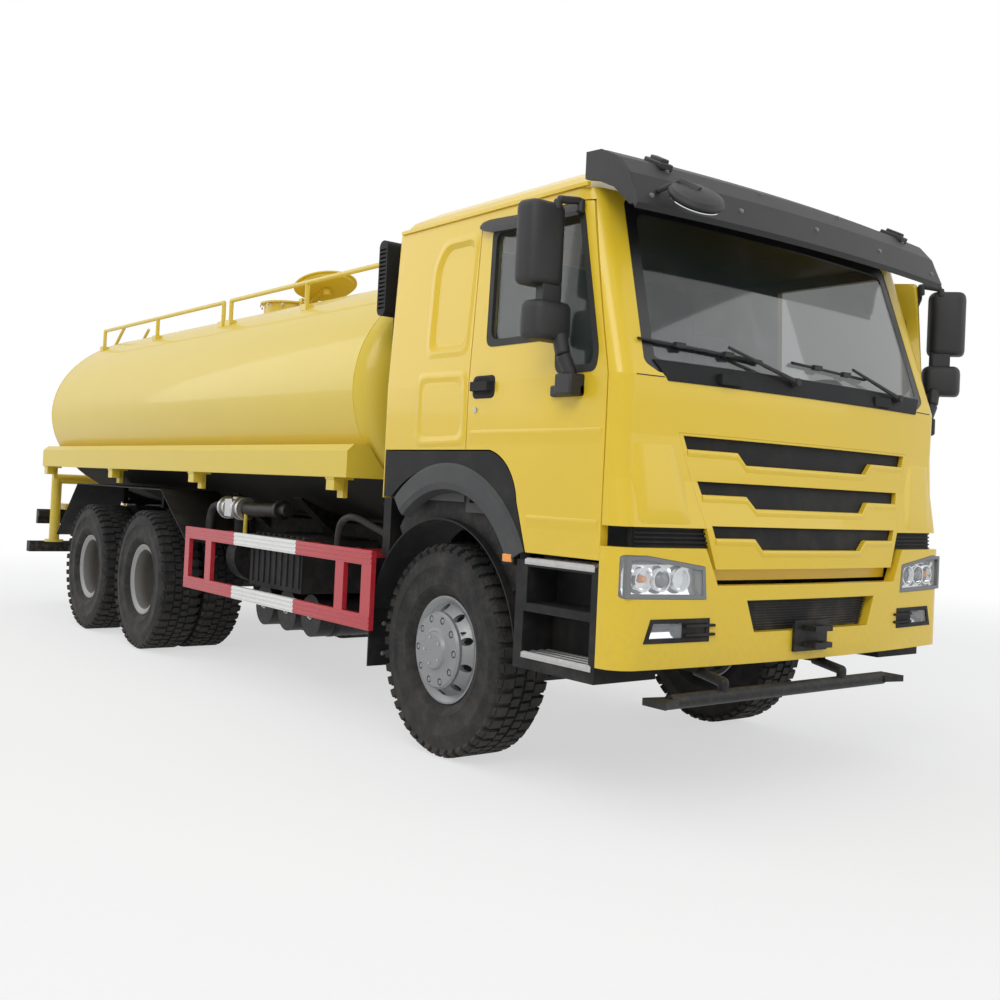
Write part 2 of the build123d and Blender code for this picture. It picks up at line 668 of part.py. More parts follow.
CORNER_FOOT_Z = 1290
with BuildPart() as front_panel:
    add(shell.part)
    add(box_between((DOOR_FRONT_X + PANEL_GAP, -WIDE, CORNER_FOOT_Z), (NOSE_X + 50, WIDE, SILL_Z)),
        mode=Mode.INTERSECT)
    with BuildSketch(FRONT_CUT):
        add(grille_outline(0))
    extrude(amount=800, mode=Mode.SUBTRACT)
finish(front_panel.part, "cab_front_panel")

# the grille: louvre bars stepping inwards over a dark backing sheet
# top of each gap, its half width there, and its depth at the sides and in the middle
LOUVRE_GAPS = ((1706, 872, 62, 118), (1503, 790, 62, 118), (1302, 722, 58, 110))
with BuildPart() as grille:
    add(outer_form)
    add(cab_form(26), mode=Mode.SUBTRACT)
    add(box_between((1300, -WIDE, GRILLE_FOOT_Z), (NOSE_X + 50, WIDE, SILL_Z)), mode=Mode.INTERSECT)
    with BuildSketch(FRONT_CUT):
        add(grille_outline(-1))
    extrude(amount=800, mode=Mode.INTERSECT)
    for top, half, shallow, deep in LOUVRE_GAPS:
        with BuildSketch(FRONT_CUT):
            with BuildLine():
                right = [(half - 12, top), (half - 34, top - shallow), (half * 0.6, top - shallow),
                         (half * 0.6 - (deep - shallow), top - deep)]
                Polyline(right + [(-y, z) for y, z in reversed(right)], close=True)
            make_face()
        extrude(amount=800, mode=Mode.SUBTRACT)
finish(grille.part, "grille")

with BuildPart() as grille_mesh:
    add(cab_form(26.2))
    add(cab_form(34), mode=Mode.SUBTRACT)
    add(box_between((1300, -WIDE, GRILLE_FOOT_Z + 4), (NOSE_X + 50, WIDE, SILL_Z)), mode=Mode.INTERSECT)
    with BuildSketch(FRONT_CUT):
        add(grille_outline(-4))
    extrude(amount=800, mode=Mode.INTERSECT)
finish(grille_mesh.part, "grille_mesh")

with BuildPart() as windscreen:
    add(cab_form(4))
    add(cab_form(4 + GLASS_T), mode=Mode.SUBTRACT)
    with BuildSketch(FRONT_CUT):
        add(screen_outline(-SNUG))
    extrude(amount=800, mode=Mode.INTERSECT)
finish(windscreen.part, "windscreen")

# the floor pan, raised over the engine, with the scuttle and the two tilt arms
TUNNEL_HALF_W = 400
TUNNEL_TOP_Z = 1590
TUNNEL_FRONT_X = 1000
FLOOR_HALF_W = CAB_HALF_W - CAB_WALL - SNUG
FLOOR_REAR_X = CAB_REAR_X + CAB_WALL + SNUG
SEAT_IN = CAB_WALL + SNUG  # what lies against the shell's inside
SCUTTLE_T = 30
with BuildPart() as scuttle:
    add(cab_form(CAB_WALL))
    add(cab_form(CAB_WALL + SCUTTLE_T), mode=Mode.SUBTRACT)
    add(box_between((1290, -1130, CAB_BASE_Z), (NOSE_X, 1130, SILL_Z - 70)), mode=Mode.INTERSECT)
with BuildPart() as cab_floor:
    with BuildSketch(Plane.YZ.offset(FLOOR_REAR_X)):
        with BuildLine():
            t = FLOOR_T
            half = [(FLOOR_HALF_W, SKIN_FOOT_Z), (FLOOR_HALF_W, SKIN_FOOT_Z + t),
                    (TUNNEL_HALF_W + t, SKIN_FOOT_Z + t), (TUNNEL_HALF_W + t, TUNNEL_TOP_Z + t)]
            under = [(TUNNEL_HALF_W, TUNNEL_TOP_Z), (TUNNEL_HALF_W, SKIN_FOOT_Z)]
            Polyline([(y, z) for y, z in half] + [(-y, z) for y, z in reversed(half)]
                     + [(-y, z) for y, z in reversed(under)] + under, close=True)
        make_face()
    extrude(amount=DOOR_REAR_X - 60 - FLOOR_REAR_X)
    # between the doorways the floor is narrower and lower
    with BuildSketch(Plane.YZ.offset(DOOR_REAR_X - 60)):
        with BuildLine():
            inner = CAB_HALF_W - CAB_WALL - 12
            half = [(inner, CAB_BASE_Z), (inner, CAB_BASE_Z + t),
                    (TUNNEL_HALF_W + t, CAB_BASE_Z + t), (TUNNEL_HALF_W + t, TUNNEL_TOP_Z + t)]
            under = [(TUNNEL_HALF_W, TUNNEL_TOP_Z), (TUNNEL_HALF_W, CAB_BASE_Z)]
            Polyline([(y, z) for y, z in half] + [(-y, z) for y, z in reversed(half)]
                     + [(-y, z) for y, z in reversed(under)] + under, close=True)
        make_face()
    extrude(amount=TUNNEL_FRONT_X - DOOR_REAR_X + 60)
    with Locations((DOOR_REAR_X - 45, 0, (CAB_BASE_Z + SKIN_FOOT_Z + t) / 2)):
        for side in (1, -1):
            with Locations((0, side * (inner + TUNNEL_HALF_W) / 2, 0)):
                Box(30, inner - TUNNEL_HALF_W, SKIN_FOOT_Z + t - CAB_BASE_Z)
    with Locations(((TUNNEL_FRONT_X + NOSE_X) / 2, 0, CAB_BASE_Z + t / 2)):
        Box(NOSE_X - TUNNEL_FRONT_X, 2 * inner, t)
    with Locations((TUNNEL_FRONT_X + t / 2, 0, (CAB_BASE_Z + TUNNEL_TOP_Z + t) / 2)):
        Box(t, 2 * (TUNNEL_HALF_W + t), TUNNEL_TOP_Z + t - CAB_BASE_Z)
    add(scuttle.part)
    add(cab_form(SEAT_IN), mode=Mode.INTERSECT)
    # two arms reach down to the tilt pivot
    for side in (1, -1):
        with Locations((TILT_X - 48, side * 430, (CAB_BASE_Z + TILT_Z) / 2 + 10)):
            Box(40, 40, CAB_BASE_Z - TILT_Z + 20)
        with Locations((TILT_X - 32, side * 430, TILT_Z)):
            Box(72, 40, 56)
        with Locations(Location((TILT_X, side * 430, TILT_Z), (90, 0, 0))):
            Cylinder(36, 40)
            Cylinder(18 + BEARING_GAP, 40, mode=Mode.SUBTRACT)
finish(cab_floor.part, "cab_floor")

# lower black trim of the cab side with the wheel arch cut out of it
ARCH_R = 712
ARCH_X = 10
ARCH_Z = 812
TRIM_T = CAB_WALL
TRIM_REAR_X = CAB_REAR_X + CAB_WALL
with BuildPart() as arch_trim:
    with BuildSketch(Plane.XZ.offset(-CAB_HALF_W)):
        with BuildLine():
            Polyline([(TRIM_REAR_X, SKIN_FOOT_Z), (TRIM_REAR_X, DOOR_ARCH_Z), ARCH_BACK])
            ThreePointArc(ARCH_BACK, ARCH_BEND, ARCH_FRONT)
            Polyline([ARCH_FRONT, (DOOR_ARCH_X, DOOR_FOOT_Z), (DOOR_ARCH_X - 90, DOOR_FOOT_Z - 10),
                      (DOOR_ARCH_X - 200, SKIN_FOOT_Z), (TRIM_REAR_X, SKIN_FOOT_Z)])
        make_face()
        offset(amount=-PANEL_GAP, kind=Kind.INTERSECTION)
        with Locations((ARCH_X, ARCH_Z)):
            Circle(ARCH_R, mode=Mode.SUBTRACT)
    extrude(amount=TRIM_T)
    mirror(about=Plane.XZ)
finish(arch_trim.part, "cab_arch_trim")


# ================================================================ doors and mirrors
def rods(points, radius):
    """A bent round bar through the points."""
    with BuildPart() as part:
        for a, b in zip(points, points[1:]):
            run = Vector(*b) - Vector(*a)
            with BuildSketch(Plane(origin=a, z_dir=run)):
                Circle(radius)
            extrude(amount=run.length)
        for p in points[1:-1]:
            with Locations(p):
                Sphere(radius)
    return part.part


HANDLE = (311, 471, 1900, 1972)  # x from, x to, z from, z to
HANDLE_OUT = 34
DOOR_INNER_Y = 600


def door_panel(side):
    """The whole door's thickness with its window cut and its pull handle."""
    with BuildPart() as part:
        add(outer_form)
        add(inner_form, mode=Mode.SUBTRACT)
        with BuildSketch(Plane.XZ.offset(-side * WIDE)):
            add(door_outline(0))
        extrude(amount=side * (WIDE - DOOR_INNER_Y), mode=Mode.INTERSECT)
        with BuildSketch(Plane.XZ.offset(-side * WIDE)):
            add(window_outline(0))
        extrude(amount=side * (WIDE - DOOR_INNER_Y), mode=Mode.SUBTRACT)
        x0, x1, z0, z1 = HANDLE
        with BuildSketch(Plane.XY.offset(z0 + 20)):
            with BuildLine():
                y = CAB_HALF_W - 2
                out = y + HANDLE_OUT
                bow = [(x0, y), (x0 + 12, out), (x1 - 12, out), (x1, y), (x1 - 14, y), (x1 - 24, out - 12),
                       (x0 + 24, out - 12), (x0 + 14, y)]
                Polyline([(px, side * py) for px, py in bow], close=True)
            make_face()
        extrude(amount=z1 - z0 - 40)
    return part.part


def door_pane(side):
    """The door's glass, inside its window."""
    with BuildPart() as part:
        add(cab_form(16))
        add(cab_form(16 + 5), mode=Mode.SUBTRACT)
        with BuildSketch(Plane.XZ.offset(-side * WIDE)):
            add(window_outline(-SNUG))
        extrude(amount=side * (WIDE - DOOR_INNER_Y), mode=Mode.INTERSECT)
    return part.part


MIRROR_X = 985
MIRROR_Y = (1262, 1498)
MIRROR_DEPTH = 120
with BuildPart() as mirror_set:
    # main and wide-angle housings on one outer arm
    for low, high in ((2360, 2720), (2105, 2280)):
        with BuildSketch(Plane.XY.offset(low)):
            with Locations((MIRROR_X, (MIRROR_Y[0] + MIRROR_Y[1]) / 2)):
                RectangleRounded(MIRROR_DEPTH, MIRROR_Y[1] - MIRROR_Y[0], 40)
        extrude(amount=high - low)
        # the glass lies in a shallow recess facing back
        with Locations((MIRROR_X - MIRROR_DEPTH / 2, (MIRROR_Y[0] + MIRROR_Y[1]) / 2, (low + high) / 2)):
            Box(16, MIRROR_Y[1] - MIRROR_Y[0] - 24, high - low - 24, mode=Mode.SUBTRACT)
    add(rods([(1100, CAB_HALF_W + 4, 1915), (1075, 1330, 1950), (1010, 1400, 2090), (1010, 1400, 2740),
              (1040, 1260, 2752), (1040, 1190, 2740)], 13))
    with Locations((1100, CAB_HALF_W + 6, 1915)):
        Box(110, 12, 60)
    with Locations((1040, 1195, 2738)):
        Box(70, 30, 36)
    add(cab_form(-SNUG), mode=Mode.SUBTRACT)

HINGE_AXIS = Axis((DOOR_HINGE_X, DOOR_HINGE_Y, 0), (0, 0, 1))
finish(door_panel(1).rotate(HINGE_AXIS, -DOOR_OPEN_DEG), "door_left")
finish(door_pane(1).rotate(HINGE_AXIS, -DOOR_OPEN_DEG), "door_glass_left")
finish(mirror_set.part.rotate(HINGE_AXIS, -DOOR_OPEN_DEG), "mirror_left")
finish(door_panel(-1), "door_right")
finish(door_pane(-1), "door_glass_right")
finish(mirror_set.part.mirror(Plane.XZ), "mirror_right")

# the visor's section, outer face then inner, as (x, z) on the centreline
VISOR_OUTER = ((1130, 2996), (1235, 2990), (1345, 2938), (1430, 2850), (1496, 2705))
VISOR_T = 22
VISOR_HALF_W = 1200
VISOR_END_T = 30
VISOR_LUGS_Y = (-880, 0, 880)
VISOR_BOW_X = NOSE_X - PLAN_R  # middle of the front's bow
VISOR_SWING = degrees(VISOR_HALF_W / PLAN_R)
with BuildPart() as sun_visor:
    # a bowed hood over the windscreen on three lugs, with a closed cheek at each end
    turned_x = (cos(radians(VISOR_SWING)), -sin(radians(VISOR_SWING)), 0)
    with BuildSketch(Plane(origin=(VISOR_BOW_X, 0, 0), x_dir=turned_x, z_dir=(turned_x[1], -turned_x[0], 0))):
        with BuildLine():
            inner = [(x - VISOR_T, z - VISOR_T) for x, z in reversed(VISOR_OUTER[1:])]
            section = list(VISOR_OUTER) + inner + [(VISOR_OUTER[0][0], VISOR_OUTER[0][1] - VISOR_T)]
            Polyline([(x - VISOR_BOW_X, z) for x, z in section], close=True)
        make_face()
    revolve(axis=Axis((VISOR_BOW_X, 0, 0), (0, 0, 1)), revolution_arc=2 * VISOR_SWING)
    for side in (1, -1):
        with BuildSketch(Plane.XZ.offset(-side * (VISOR_HALF_W - 12))):
            with BuildLine():
                drop = VISOR_HALF_W ** 2 / (2 * PLAN_R)
                cheek = list(VISOR_OUTER) + [(1440, 2705), (1330, 2800), (1215, 2850), (1130, 2870)]
                Polyline([(x - drop, z) for x, z in cheek], close=True)
            make_face()
        extrude(amount=side * VISOR_END_T)
    for y in VISOR_LUGS_Y:
        with Locations((1163, y, 2911)):
            Box(96, 46, 143)
    add(outer_form, mode=Mode.SUBTRACT)
finish(sun_visor.part, "sun_visor")

# ================================================================ cab inside
with BuildPart() as dashboard:
    with BuildSketch(Plane.XZ.offset(-(CAB_HALF_W - CAB_WALL - 16))):
        with BuildLine():
            Polyline([(1060, 1960), (1300, 2010), (1450, 1985), (1450, 1700), (1230, 1640),
                      (1120, 1650), (1050, 1860)], close=True)
        make_face()
        fillet(vertices(), 18)
    extrude(amount=2 * (CAB_HALF_W - CAB_WALL - 16))
    add(cab_form(CAB_WALL + SCUTTLE_T + SNUG), mode=Mode.INTERSECT)
finish(dashboard.part, "dashboard")

SEAT_Y = 705
with BuildPart() as seats:
    for side in (1, -1):
        y = side * SEAT_Y
        with Locations((430, y, 1560)):
            Box(520, 480, 130)
        with Locations((430, y, 1422.8)):
            Box(340, 360, 145)
        with BuildSketch(Plane.XZ.offset(-(y + 240))):
            with BuildLine():
                Polyline([(100, 1600), (240, 1600), (150, 2250), (140, 2460), (80, 2460), (40, 2250)],
                         close=True)
            make_face()
            fillet(vertices(), 20)
        extrude(amount=480)
    # bunk across the back
    with Locations((-310, 0, 1760)):
        Box(430, 2280, 130)
    for side in (1, -1):
        with Locations((-310, side * 780, 1552.8)):
            Box(400, 600, 301)
finish(seats.part, "seats_and_bunk")

WHEEL_TILT = 62
WHEEL_AT = (850, SEAT_Y, 2010)
with BuildPart() as steering_wheel:
    facing = (-cos(radians(WHEEL_TILT)), 0, sin(radians(WHEEL_TILT)))
    face = Plane(origin=WHEEL_AT, x_dir=(0, 1, 0), z_dir=facing)
    with Locations(face.location):
        Torus(225, 15)
        Cylinder(50, 60)
        for turn in (0, 120, 240):
            with Locations(Location((0, 0, 0), (0, 0, turn))):
                with Locations((115, 0, 0)):
                    Box(220, 36, 14)
    with BuildSketch(face.offset(-330)):
        Circle(32)
    extrude(amount=310)
    add(dashboard.part, mode=Mode.SUBTRACT)
finish(steering_wheel.part, "steering_wheel")

INTAKE_X = -700
INTAKE_W = 90
INTAKE_Y = (-1210, -960)  # outer and inner face of the head
INTAKE_Z = (2395, 2830)
DUCT_Y = (-1100, -960)
with BuildPart() as intake:
    # snorkel behind the cab's right rear corner, standing on the frame
    with BuildSketch(Plane.XZ.offset(-INTAKE_Y[0])):
        with Locations((INTAKE_X, (INTAKE_Z[0] + INTAKE_Z[1]) / 2)):
            RectangleRounded(INTAKE_W, INTAKE_Z[1] - INTAKE_Z[0], 40)
    extrude(amount=INTAKE_Y[0] - INTAKE_Y[1])
    for z in range(INTAKE_Z[0] + 45, INTAKE_Z[1] - 35, 24):
        with Locations((INTAKE_X, INTAKE_Y[0], z)):
            Box(INTAKE_W - 22, 24, 11, mode=Mode.SUBTRACT)
    duct_mid = (DUCT_Y[0] + DUCT_Y[1]) / 2
    with Locations((INTAKE_X, duct_mid, (INTAKE_Z[0] + 1010) / 2 + 5)):
        Box(INTAKE_W - 10, DUCT_Y[1] - DUCT_Y[0], INTAKE_Z[0] - 1000)
    with Locations((INTAKE_X, -(FRAME_HALF_W - DUCT_Y[0]) / 2 - SNUG, 1050)):
        Box(INTAKE_W - 10, -DUCT_Y[0] - FRAME_HALF_W, 80)
    with Locations((INTAKE_X, -(FRAME_HALF_W + 60 + SNUG), 960)):
        Box(INTAKE_W - 10, 120, 130)
finish(intake.part, "air_intake")


# ================================================================ bumper, lamps and steps
def bumper_plan(inset):
    """The bumper's outline from above, drawn in by inset."""
    with BuildSketch() as face:
        with BuildLine():
            half = BUMPER_HALF_W - inset
            corner_x = BUMPER_X - inset - half ** 2 / (2 * PLAN_R)
            ThreePointArc((corner_x, -half), (BUMPER_X - inset, 0), (corner_x, half))
            rear = BUMPER_END_X - 1
            Polyline([(corner_x, half), (rear, half), (rear, -half), (corner_x, -half)])
        make_face()
        fillet(vertices().group_by(Axis.X)[-1], 130 - inset)
    return face.sketch


def bumper_form(outer, inner):
    """The bumper's wall between two insets, at full height."""
    with BuildPart() as part:
        with BuildSketch(Plane.XY.offset(BUMPER_FOOT_Z)):
            add(bumper_plan(outer))
            add(bumper_plan(inner), mode=Mode.SUBTRACT)
        extrude(amount=BUMPER_TOP_Z - BUMPER_FOOT_Z)
    return part.part


# half of each opening, from the middle outwards
LAMP_OPENINGS = (
    ("headlamp", ((751, 970), (765, 1120), (1100, 1167), (1215, 1167), (1215, 979))),
    ("fog_lamp", ((734, 790), (734, 880), (1060, 880), (1090, 790))),
)


def lamp_outline(points, grow):
    with BuildSketch() as face:
        with BuildLine():
            Polyline(list(points), close=True)
        make_face()
        fillet(vertices(), 14)
        if grow:
            offset(amount=grow)
        mirror(about=Plane.YZ)
    return face.sketch


with BuildPart() as bumper:
    add(bumper_form(0, BUMPER_WALL))
    # the top edge dips between the headlamps to clear the grille
    with BuildSketch(FRONT_CUT):
        with BuildLine():
            above = BUMPER_TOP_Z + 10
            Polyline([(-NOTCH_TOP_W, above), (NOTCH_TOP_W, above), (NOTCH_FOOT_W, BUMPER_MID_Z),
                      (-NOTCH_FOOT_W, BUMPER_MID_Z)], close=True)
        make_face()
        # air opening
        with BuildLine():
            Polyline([(-496, 962), (496, 962), (440, 812), (-440, 812)], close=True)
        make_face()
    extrude(amount=800, mode=Mode.SUBTRACT)
    for name, points in LAMP_OPENINGS:
        with BuildSketch(FRONT_CUT):
            add(lamp_outline(points, 0))
        extrude(amount=800, mode=Mode.SUBTRACT)
    # brackets to the frame
    bracket_rear = FRAME_FRONT_X + SNUG
    bracket_front = BUMPER_X - BUMPER_WALL - 14
    for side in (1, -1):
        with Locations(((bracket_rear + bracket_front) / 2, side * (FRAME_HALF_W - 40), 790)):
            Box(bracket_front - bracket_rear, 70, 150)
finish(bumper.part, "bumper")

with BuildPart() as lamps:
    add(bumper_form(5, BUMPER_WALL - 8))
    with BuildSketch(FRONT_CUT):
        for name, points in LAMP_OPENINGS:
            add(lamp_outline(points, -SNUG))
    extrude(amount=800, mode=Mode.INTERSECT)
finish(lamps.part, "front_lamps")

TOW_X = BUMPER_X + 60
TOW_BORE_R = 20
with BuildPart() as tow_bracket:
    # a base plate on the bumper's face and two ears with the pin's hole
    with Locations((BUMPER_X + 8 + SNUG, -48, 785)):
        Box(16, 250, 150)
    for z in (745, 825):
        with Locations((BUMPER_X + 55, -48, z)):
            Box(80, 130, 26)
    with Locations((TOW_X, -48, 785)):
        Cylinder(TOW_BORE_R, 200, mode=Mode.SUBTRACT)

with BuildPart() as cab_steps:
    for side in (1, -1):
        low, high = (STEP_INNER_Y, STEP_OUTER_Y) if side == 1 else (-STEP_OUTER_Y, -STEP_INNER_Y)
        add(box_between((STEP_REAR_X, low, 590), (STEP_FRONT_X, high, 1100)))
        # two foot holes, each with a tread at its foot
        for z0, z1, x0 in ((662, 860, 800), (900, 1070, 820)):
            with Locations(((x0 + STEP_FRONT_X - 40) / 2, side * (STEP_OUTER_Y - 90), (z0 + z1) / 2)):
                Box(STEP_FRONT_X - 40 - x0, 190, z1 - z0, mode=Mode.SUBTRACT)
        # inboard arm to the frame
        with Locations(((STEP_REAR_X + STEP_FRONT_X) / 2, side * (STEP_INNER_Y + FRAME_HALF_W) / 2, 800)):
            Box(120, STEP_INNER_Y - FRAME_HALF_W - 2 * SNUG, 80)
finish(cab_steps.part, "cab_steps")

GUARD_R = 690
with BuildPart() as front_mudguards:
    for side in (1, -1):
        with BuildSketch(Plane.XZ.offset(-side * 1195)):
            with BuildLine():
                CenterArc((0, AXLE_Z), GUARD_R, 12, 156)
                CenterArc((0, AXLE_Z), GUARD_R + 8, 12, 156)
                Line((GUARD_R * cos(radians(12)), AXLE_Z + GUARD_R * sin(radians(12))),
                     ((GUARD_R + 8) * cos(radians(12)), AXLE_Z + (GUARD_R + 8) * sin(radians(12))))
                Line((GUARD_R * cos(radians(168)), AXLE_Z + GUARD_R * sin(radians(168))),
                     ((GUARD_R + 8) * cos(radians(168)), AXLE_Z + (GUARD_R + 8) * sin(radians(168))))
            make_face()
        extrude(amount=side * 345)
        # flat flap behind the tyre
        with Locations((-686, side * (1195 - 345 / 2), 690)):
            Box(12, 345, 620)
finish(front_mudguards.part, "front_mudguards")


# ================================================================ tank
DISH_STEPS = ((0, 1.0), (0.34, 0.965), (0.68, 0.84), (0.9, 0.62), (1.0, 0.3))  # depth share, size share
with BuildPart() as water_tank:
    with BuildSketch(Plane.YZ.offset(TANK_REAR_X)):
        with Locations((0, TANK_MID_Z)):
            Ellipse(TANK_A, TANK_B)
    extrude(amount=TANK_FRONT_X - TANK_REAR_X)
    # dished heads
    for end, way in ((TANK_FRONT_X, 1), (TANK_REAR_X, -1)):
        for depth, share in DISH_STEPS:
            with BuildSketch(Plane.YZ.offset(end + way * depth * TANK_DISH)):
                with Locations((0, TANK_MID_Z)):
                    Ellipse(TANK_A * share, TANK_B * share)
        loft()
    # manhole collar, its flange and the well below it
    with BuildSketch(Plane.XY.offset(TANK_MID_Z)):
        with Locations((MANHOLE_X, 0)):
            Circle(MANHOLE_R - 30)
    extrude(amount=MANHOLE_TOP_Z - TANK_MID_Z)
    with BuildSketch(Plane.XY.offset(MANHOLE_TOP_Z - 14)):
        with Locations((MANHOLE_X, 0)):
            Circle(MANHOLE_R)
    extrude(amount=14)
    with BuildSketch(Plane.XY.offset(MANHOLE_TOP_Z)):
        with Locations((MANHOLE_X, 0)):
            Circle(MANHOLE_R - 30 - MANHOLE_WALL)
    extrude(amount=-MANHOLE_DEPTH, mode=Mode.SUBTRACT)
    # lugs that carry the lid's hinge pin, in front of the collar
    for y in (-70, 70):
        with Locations((MANHOLE_X + MANHOLE_R + 12, y, MANHOLE_TOP_Z - 6)):
            Box(60, 16, 56)
finish(water_tank.part, "water_tank")

LID_HINGE = (MANHOLE_X + MANHOLE_R + 24, 0, MANHOLE_TOP_Z + 12)
with BuildPart() as lid:
    # drawn shut, then thrown back about its hinge
    with Locations((MANHOLE_X, 0, MANHOLE_TOP_Z + 6 + 5)):
        Cylinder(LID_R, 10)
    with Locations((MANHOLE_X, 0, MANHOLE_TOP_Z + 6 + 10)):
        Cylinder(LID_R - 25, 22, align=(Align.CENTER, Align.CENTER, Align.MIN))
    with Locations((MANHOLE_X + 150, 0, MANHOLE_TOP_Z + 47)):
        Box(310, 46, 20)
    with Locations(Location(LID_HINGE, (90, 0, 0))):
        Cylinder(11, 118)
    with Locations((LID_HINGE[0] - 12, 0, MANHOLE_TOP_Z + 34)):
        Box(30, 46, 50)
    with BuildSketch(Plane.XY.offset(MANHOLE_TOP_Z + 60)):
        with Locations((MANHOLE_X, 0)):
            Circle(30)
    extrude(amount=44)
LID_AXIS = Axis(LID_HINGE, (0, 1, 0))
finish(lid.part.rotate(LID_AXIS, LID_OPEN_DEG), "manhole_lid")

with BuildPart() as tank_skirts:
    for side in (1, -1):
        with BuildSketch(Plane.YZ.offset(SKIRT_REAR_X)):
            with BuildLine():
                Polyline([(side * y, z) for y, z in (
                    (700, SKIRT_FOOT_Z), (SKIRT_HALF_W, SKIRT_FOOT_Z), (SKIRT_HALF_W, SKIRT_TOP_Z),
                    (SKIRT_HALF_W - 45, SKIRT_CREST_Z), (900, SKIRT_CREST_Z), (700, SKIRT_FOOT_Z + 60))],
                    close=True)
            make_face()
            with Locations((0, TANK_MID_Z)):
                Ellipse(TANK_A + SNUG, TANK_B + SNUG, mode=Mode.SUBTRACT)
        extrude(amount=SKIRT_FRONT_X - SKIRT_REAR_X)
finish(tank_skirts.part, "tank_skirts")

SADDLES_X = (-1350, -2600, -3700, -5300, -6600)
with BuildPart() as subframe:
    for side in (1, -1):
        middle_x = (TANK_FRONT_X + TANK_REAR_X) / 2
        with Locations((middle_x, side * (FRAME_HALF_W - 42), FRAME_TOP_Z + SUBFRAME_H / 2)):
            Box(TANK_FRONT_X - TANK_REAR_X - 60, 80, SUBFRAME_H - SNUG)
    for x in SADDLES_X:
        with BuildSketch(Plane.YZ.offset(x - 60)):
            with BuildLine():
                foot = FRAME_TOP_Z + 20
                Polyline([(-720, 1340), (720, 1340), (720, 1290), (430, foot), (-430, foot), (-720, 1290)],
                         close=True)
            make_face()
            with Locations((0, TANK_MID_Z)):
                Ellipse(TANK_A + SNUG, TANK_B + SNUG, mode=Mode.SUBTRACT)
        extrude(amount=120)
    add(box_between((-8000, -FRAME_HALF_W, 500), (0, FRAME_HALF_W, FRAME_TOP_Z + SNUG)), mode=Mode.SUBTRACT)
finish(subframe.part, "tank_subframe")

RAIL_Y = 760
RAIL_R = 17
RAIL_FOOT_Z = TANK_MID_Z + TANK_B * sqrt(1 - (RAIL_Y / TANK_A) ** 2)
RAIL_UP = 190
RAILS = ((-6980, -5500, -4010), (-3860, -2530, -1200))
with BuildPart() as rail_feet:
    for side in (1, -1):
        for x in [x for run in RAILS for x in run]:
            with Locations((x, side * RAIL_Y, RAIL_FOOT_Z + 4)):
                Box(90, 60, 50)
    with BuildSketch(Plane.YZ.offset(TANK_REAR_X - 50)):
        with Locations((0, TANK_MID_Z)):
            Ellipse(TANK_A + SNUG, TANK_B + SNUG)
    extrude(amount=TANK_FRONT_X - TANK_REAR_X + 100, mode=Mode.SUBTRACT)
with BuildPart() as top_rails:
    add(rail_feet.part)
    for side in (1, -1):
        for rear, mid, front in RAILS:
            low, z = RAIL_FOOT_Z + 20, RAIL_FOOT_Z + RAIL_UP
            y = side * RAIL_Y
            add(rods([(rear, y, low), (rear, y, z), (front, y, z), (front, y, low)], RAIL_R))
            add(rods([(mid, y, low), (mid, y, z)], RAIL_R))
finish(top_rails.part, "top_rails")

# ================================================================ side gear
GUARD_BARS_Z = (636, 1003)
GUARD_BAR_H = 86
GUARD_T = 30
GUARD_X = (-3340, -600)
GUARD_POSTS = ((-3300, 80), (-2905, 100), (-967, 100), (-655, 110))  # middle, width
GUARD_ARMS_X = (-2650, -1380, -850)
GUARD_INNER_Y = SKIRT_HALF_W - GUARD_T
with BuildPart() as side_guards:
    for side in (1, -1):
        y = side * (SKIRT_HALF_W - GUARD_T / 2)
        for z in GUARD_BARS_Z:
            with Locations((sum(GUARD_X) / 2, y, z)):
                Box(GUARD_X[1] - GUARD_X[0], GUARD_T, GUARD_BAR_H)
        for x, width in GUARD_POSTS:
            with Locations((x, y, sum(GUARD_BARS_Z) / 2)):
                Box(width, GUARD_T, GUARD_BARS_Z[1] - GUARD_BARS_Z[0])
        for x in GUARD_ARMS_X:
            with Locations((x, side * (GUARD_INNER_Y - 20), GUARD_BARS_Z[1])):
                Box(60, 42, GUARD_BAR_H)
            with Locations((x, side * (FRAME_HALF_W + GUARD_INNER_Y - 40) / 2, GUARD_BARS_Z[1] - 20)):
                Box(60, GUARD_INNER_Y - 40 - FRAME_HALF_W - 2 * SNUG, 50)
finish(side_guards.part, "side_guards")

with BuildPart() as rear_mudguards:
    for side in (1, -1):
        with BuildSketch(Plane.XZ.offset(-side * 1235)):
            with BuildLine():
                top = [(-3350, 930), (-3930, 1307), (-6040, 1307), (-6620, 800)]
                Polyline(top + [(x + dx, z + dz) for (x, z), (dx, dz) in zip(
                    reversed(top), ((6, -4), (0, -8), (0, -8), (-4, -7)))], close=True)
            make_face()
        extrude(amount=side * 475)
        # brackets from the rail, over the inner tyres
        for x in (-3960, BOGIE_X, -6000):
            with Locations((x, side * (FRAME_HALF_W + SNUG + 200), 1150)):
                Box(50, 400, 40)
            with Locations((x, side * (FRAME_HALF_W + SNUG + 380), 1225)):
                Box(50, 40, 150)
            with Locations((x, side * (FRAME_HALF_W + SNUG + 20), 1075)):
                Box(50, 40, 190)
finish(rear_mudguards.part, "rear_mudguards")

with BuildPart() as battery_box:
    with Locations((-2080, -850, 865)):
        Box(780, 540, 350)
    with Locations((-2080, -(FRAME_HALF_W + SNUG + 85), 900)):
        Box(500, 170, 80)
finish(battery_box.part, "battery_box")

